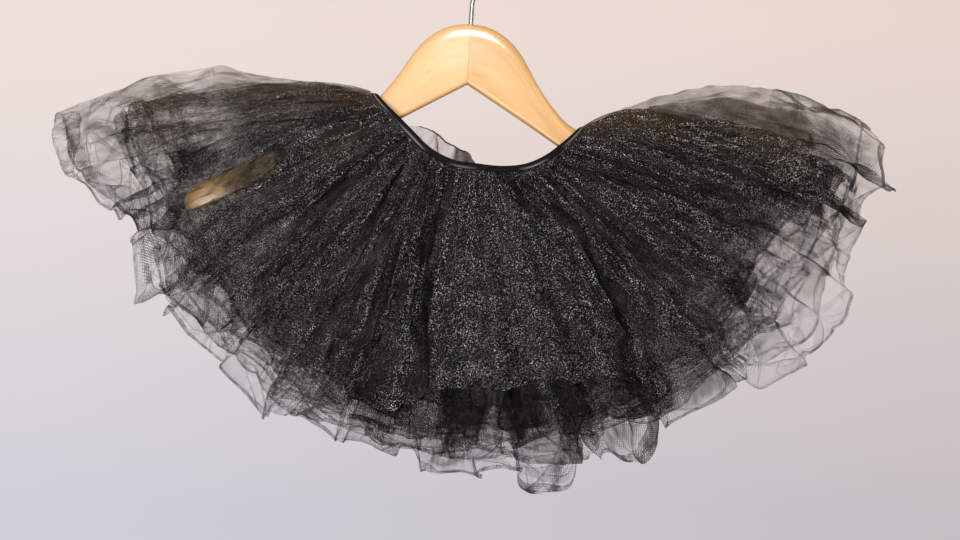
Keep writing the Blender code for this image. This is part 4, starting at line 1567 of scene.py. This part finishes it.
MIDDLE_BUNCHES = strands(
    (FRONT, 2, 4, ((-0.96, 200), (-0.89, 200), (-0.825, 205), (-0.785, 209), (-0.73, 214),
         (-0.715, 220))),
    (FRONT, 2, 3, ((-0.905, 205), (-0.9, 180), (-0.87, 135))),
    (FRONT, 2, 3, ((0.745, 175), (0.78, 208), (0.83, 212))),
    (FRONT, 5, 2, ((0.91, 110), (0.95, 125), (0.985, 155), (0.99, 180), (0.985, 200))),
    (BACK, 2.5, 3, ((-0.8, 190), (-0.7, 205), (-0.58, 200))),
    (BACK, 2.5, 3, ((0.62, 205), (0.72, 195), (0.8, 205))),
)
UNDER_BUNCHES = strands(
    (FRONT, 2, 3.5, ((-0.985, 225), (-0.975, 195), (-0.95, 155), (-0.95, 125), (-0.965, 90))),
    (FRONT, 1.7, 3, ((-0.975, 255), (-0.95, 225), (-0.905, 205), (-0.9, 180), (-0.87, 130),
         (-0.855, 100))),
    (FRONT, 1.8, 3, ((-0.975, 250), (-0.915, 246), (-0.85, 238), (-0.775, 225), (-0.72, 219))),
    (FRONT, 1.5, 2.5, ((-0.945, 245), (-0.875, 235), (-0.825, 224), (-0.8, 206))),
    (FRONT, 2, 3.5, ((-0.715, 220), (-0.62, 207), (-0.565, 225))),
    (FRONT, 1.8, 3, ((-0.71, 224), (-0.68, 233), (-0.63, 221))),
    (BOTH, 1.2, 1, ((1, 30), (1, 110), (0.998, 175), (0.99, 215), (0.94, 222))),
    (FRONT, 1.6, 2, ((0.985, 60), (0.975, 115), (0.985, 160), (0.985, 200), (0.965, 220))),
    (FRONT, 1.6, 2.5, ((0.965, 50), (0.955, 95), (0.96, 130))),
    (BOTH, 1, 0.8, ((-0.998, 25), (-0.998, 90), (-0.995, 150), (-0.99, 200))),
    (FRONT, 1.2, 2, ((-0.985, 70), (-0.993, 112), (-0.988, 135), (-0.975, 165))),
    (FRONT, 1.2, 2, ((-0.99, 128), (-0.97, 112), (-0.955, 95))),
    (FRONT, 2, 3, ((0.915, 207), (0.87, 211), (0.845, 220), (0.865, 230))),
    (FRONT, 2, 3, ((0.8, 222), (0.78, 232), (0.725, 228), (0.675, 232), (0.61, 221), (0.51, 226))),
    (FRONT, 2.2, 3.5, ((-0.04, 182), (-0.025, 207), (-0.045, 232), (-0.02, 242))),
    (FRONT, 2, 3.5, ((0.02, 182), (0.02, 218), (-0.03, 236))),
    (FRONT, 2.2, 3.5, ((0.09, 184), (0.09, 219), (0.075, 236), (0.09, 248), (0.125, 252))),
    (FRONT, 2.4, 4, ((0.18, 188), (0.185, 217), (0.165, 235), (0.15, 257))),
    (FRONT, 1.8, 3.5, ((0.17, 262), (0.185, 240), (0.185, 215))),
    (FRONT, 1.8, 3, ((0.21, 206), (0.275, 222), (0.265, 240), (0.27, 250))),
    (FRONT, 2, 3.5, ((0.33, 225), (0.315, 242), (0.29, 258))),
    (BACK, 2.2, 3, ((-0.62, 200), (-0.58, 225), (-0.61, 240))),
    (BACK, 2.2, 3, ((-0.3, 195), (-0.27, 220), (-0.31, 244))),
    (BACK, 2.2, 3, ((0.06, 190), (0.03, 220), (0.07, 246))),
    (BACK, 2.2, 3, ((0.45, 190), (0.5, 222), (0.47, 240))),
)
# strands that only hide the arm: more plies, with no ridge and no painted shade
CLOAKS = tuple(Bunch(Line(FRONT, through), width, plies, dull=0.0) for width, plies, through in (
    (12, 3, ((0.69, 20), (0.7, 90), (0.7, 165))),
    (6, 2, ((-0.72, 20), (-0.71, 80), (-0.715, 130))),
    (5, 3, ((-0.79, 10), (-0.775, 60))),
))
TONGUES = tuple(Tongue(FRONT, *row) for row in (
    (0.135, 0.045, 8), (0.199, 0.023, -40), (0.292, 0.034, 18), (0.35, 0.028, -18),
    (0.43, 0.03, 6), (0.565, 0.035, 14), (0.715, 0.028, 9), (0.945, 0.056, 17), (-0.02, 0.055, 5),
    (-0.115, 0.022, -11), (-0.42, 0.035, 12), (-0.625, 0.02, -15), (-0.675, 0.025, 11),
    (-0.752, 0.018, -11))
) + tuple(Tongue(BACK, *row) for row in (
    (-0.35, 0.06, 8), (0.24, 0.05, -10)))
HUMPS = tuple(Hump(*row) for row in (
    (-1, 119, 26, 6.5), (-1, 148, 50, 6), (1, 120, 70, 4)))
# the hollow under the dome's lip: more plies with painted shade, and two spots where the net parts
HOLLOW = spots(FRONT,
    (-0.005, 0.035, 196, 22), (0.1, 0.045, 194, 22), (0.2, 0.03, 198, 22),
    (-0.17, 0.05, 196, 20, 2), (0.34, 0.06, 200, 16, 2), (0.045, 0.012, 205, 18, -0.5),
    (0.155, 0.012, 205, 18, -0.5))
TIP = spots(FRONT, (-0.742, 0.032, 164, 18, -0.9), (-0.76, 0.014, 122, 24, -0.28))
# knots of net: more plies with painted shade
KNOTS = spots(FRONT,
    (-0.81, 0.02, 166, 14, 1.5), (-0.815, 0.028, 160, 20, 2.5), (-0.78, 0.02, 210, 9, 2),
    (-0.56, 0.02, 205, 10, 2), (0.62, 0.05, 190, 20, 1.5))
RIGHT = spots(BOTH,
    (0.755, 0.078, 206, 34, -0.62), (0.67, 0.05, 235, 18, -0.5), (0.55, 0.03, 238, 12, -0.4))
LEFT = spots(BOTH, (-0.93, 0.07, 232, 22, -0.25), (-0.68, 0.03, 238, 16, -0.45))
LEFT_HUMP = spots(BOTH, (-0.985, 0.022, 135, 32, -0.3))
SCALLOP = spots(BOTH, (0.7, 0.1, 252, 24, -0.3), (0.565, 0.04, 250, 14, -0.4))
THINNER = spots(BOTH,
    (-0.915, 0.035, 150, 30, -0.45), (-0.852, 0.02, 140, 12, -0.6), (0.955, 0.03, 70, 30, -0.3),
    (0.993, 0.009, 112, 34, -0.3)) + spots(FRONT, (-0.695, 0.02, 142, 11, -0.35))
# more plies, with painted shade on them
VEIL = spots(FRONT,
    (0.88, 0.048, 218, 20, 1.3), (-0.765, 0.035, 200, 15, 1), (0.955, 0.017, 145, 28, 3.2),
    (-0.92, 0.036, 213, 15, 1.5), (-0.965, 0.018, 231, 10, 1), (0.438, 0.032, 215, 12, 3.8),
    (0.28, 0.032, 227, 10, 2.6), (0.74, 0.055, 220, 12, 1.7), (-0.526, 0.02, 201, 12, 2.4),
    (0.547, 0.02, 204, 12, 1.3), (0.941, 0.018, 194, 14, 1.3), (-0.555, 0.016, 215, 8, 1),
    (-0.044, 0.016, 230, 10, 1))
PARTED = spots(BOTH,
    (0.213, 0.015, 228, 18, -0.65), (-0.475, 0.024, 210, 12, -0.65),
    (-0.35, 0.025, 236, 11, -0.65), (-0.222, 0.022, 219, 16, -0.6), (0.35, 0.022, 228, 15, -0.6),
    (0.15, 0.028, 232, 9, -0.5), (0.981, 0.012, 212, 34, -0.5), (-0.63, 0.022, 226, 14, -0.55),
    (-0.134, 0.018, 217, 12, -0.45))
STILLS = spots(BOTH, (0.7, 0.15, 262, 44, -0.85), (-0.93, 0.1, 250, 44, -0.7))


def tiers() -> tuple[NetTier, ...]:
    """The three tiers from the inside out, two of them with a second, shorter ply."""
    return (
        NetTier("under_net", 0, UNDER_HEM, (1.9, 0.26), UNDER_PLIES, 100, tongues=TONGUES,
                bunches=UNDER_BUNCHES, humps=HUMPS, stills=STILLS,
                shades=TIP + RIGHT + LEFT + SCALLOP + THINNER + LEFT_HUMP + VEIL + PARTED),
        NetTier("under_net", 0, shorter(UNDER_HEM, UNDER_CUT), (1.8, 0.24), UNDER_PLIES, 150,
                ply=1, inset=(0.03, 0.06), thin=0.8, pressed=0.5, humps=HUMPS,
                shades=HOLLOW + TIP + RIGHT + LEFT + THINNER + LEFT_HUMP + PARTED),
        NetTier("middle_net", 1, MIDDLE_HEM, (1.85, 0.235), MIDDLE_PLIES, 200,
                inset=(0.05, 0.10), bunches=MIDDLE_BUNCHES,
                shades=HOLLOW + TIP + RIGHT + THINNER + PARTED),
        NetTier("middle_net", 1, shorter(MIDDLE_HEM, MIDDLE_CUT), (1.75, 0.225), MIDDLE_PLIES,
                250, ply=1, inset=(0.04, 0.08), thin=0.7, pressed=0.4,
                shades=HOLLOW + TIP + KNOTS + RIGHT + THINNER),
        NetTier("top_net", 2, TOP_HEM, (1.9, 0.20), TOP_PLIES, 300, panel=Panel(),
                inset=(0.055, 0.11), pressed=0.8, creases=CREASES, bunches=TOP_BUNCHES + CLOAKS,
                shades=TIP + KNOTS + RIGHT + THINNER),
    )


def main() -> None:
    """Build the skirt from the inside out, then the hanger and the studio."""
    logging.basicConfig(level=logging.INFO, format="%(name)s %(message)s")
    net = hexagon_net()
    Waistband().build(ElasticFinish().material())
    for tier in tiers():
        turn = 0.21 * (tier.layer + 1) + 0.4 * tier.ply
        tier.build(NetFinish(f"{tier.name}_finish_{tier.ply}", net, turn).material())
    NetHeading().build(NetFinish("heading_finish", net, 0.5).material())
    hanger = Hanger()
    hanger.arm("hanger_arm_left", -1, WoodFinish("beech_left").material())
    hanger.arm("hanger_arm_right", 1, WoodFinish("beech_right", pale=(0.465, 0.268, 0.076),
                                                 shift=0.37).material())
    hanger.hook(WireFinish().material())
    Studio().build()


if __name__ == "__main__":
    main()
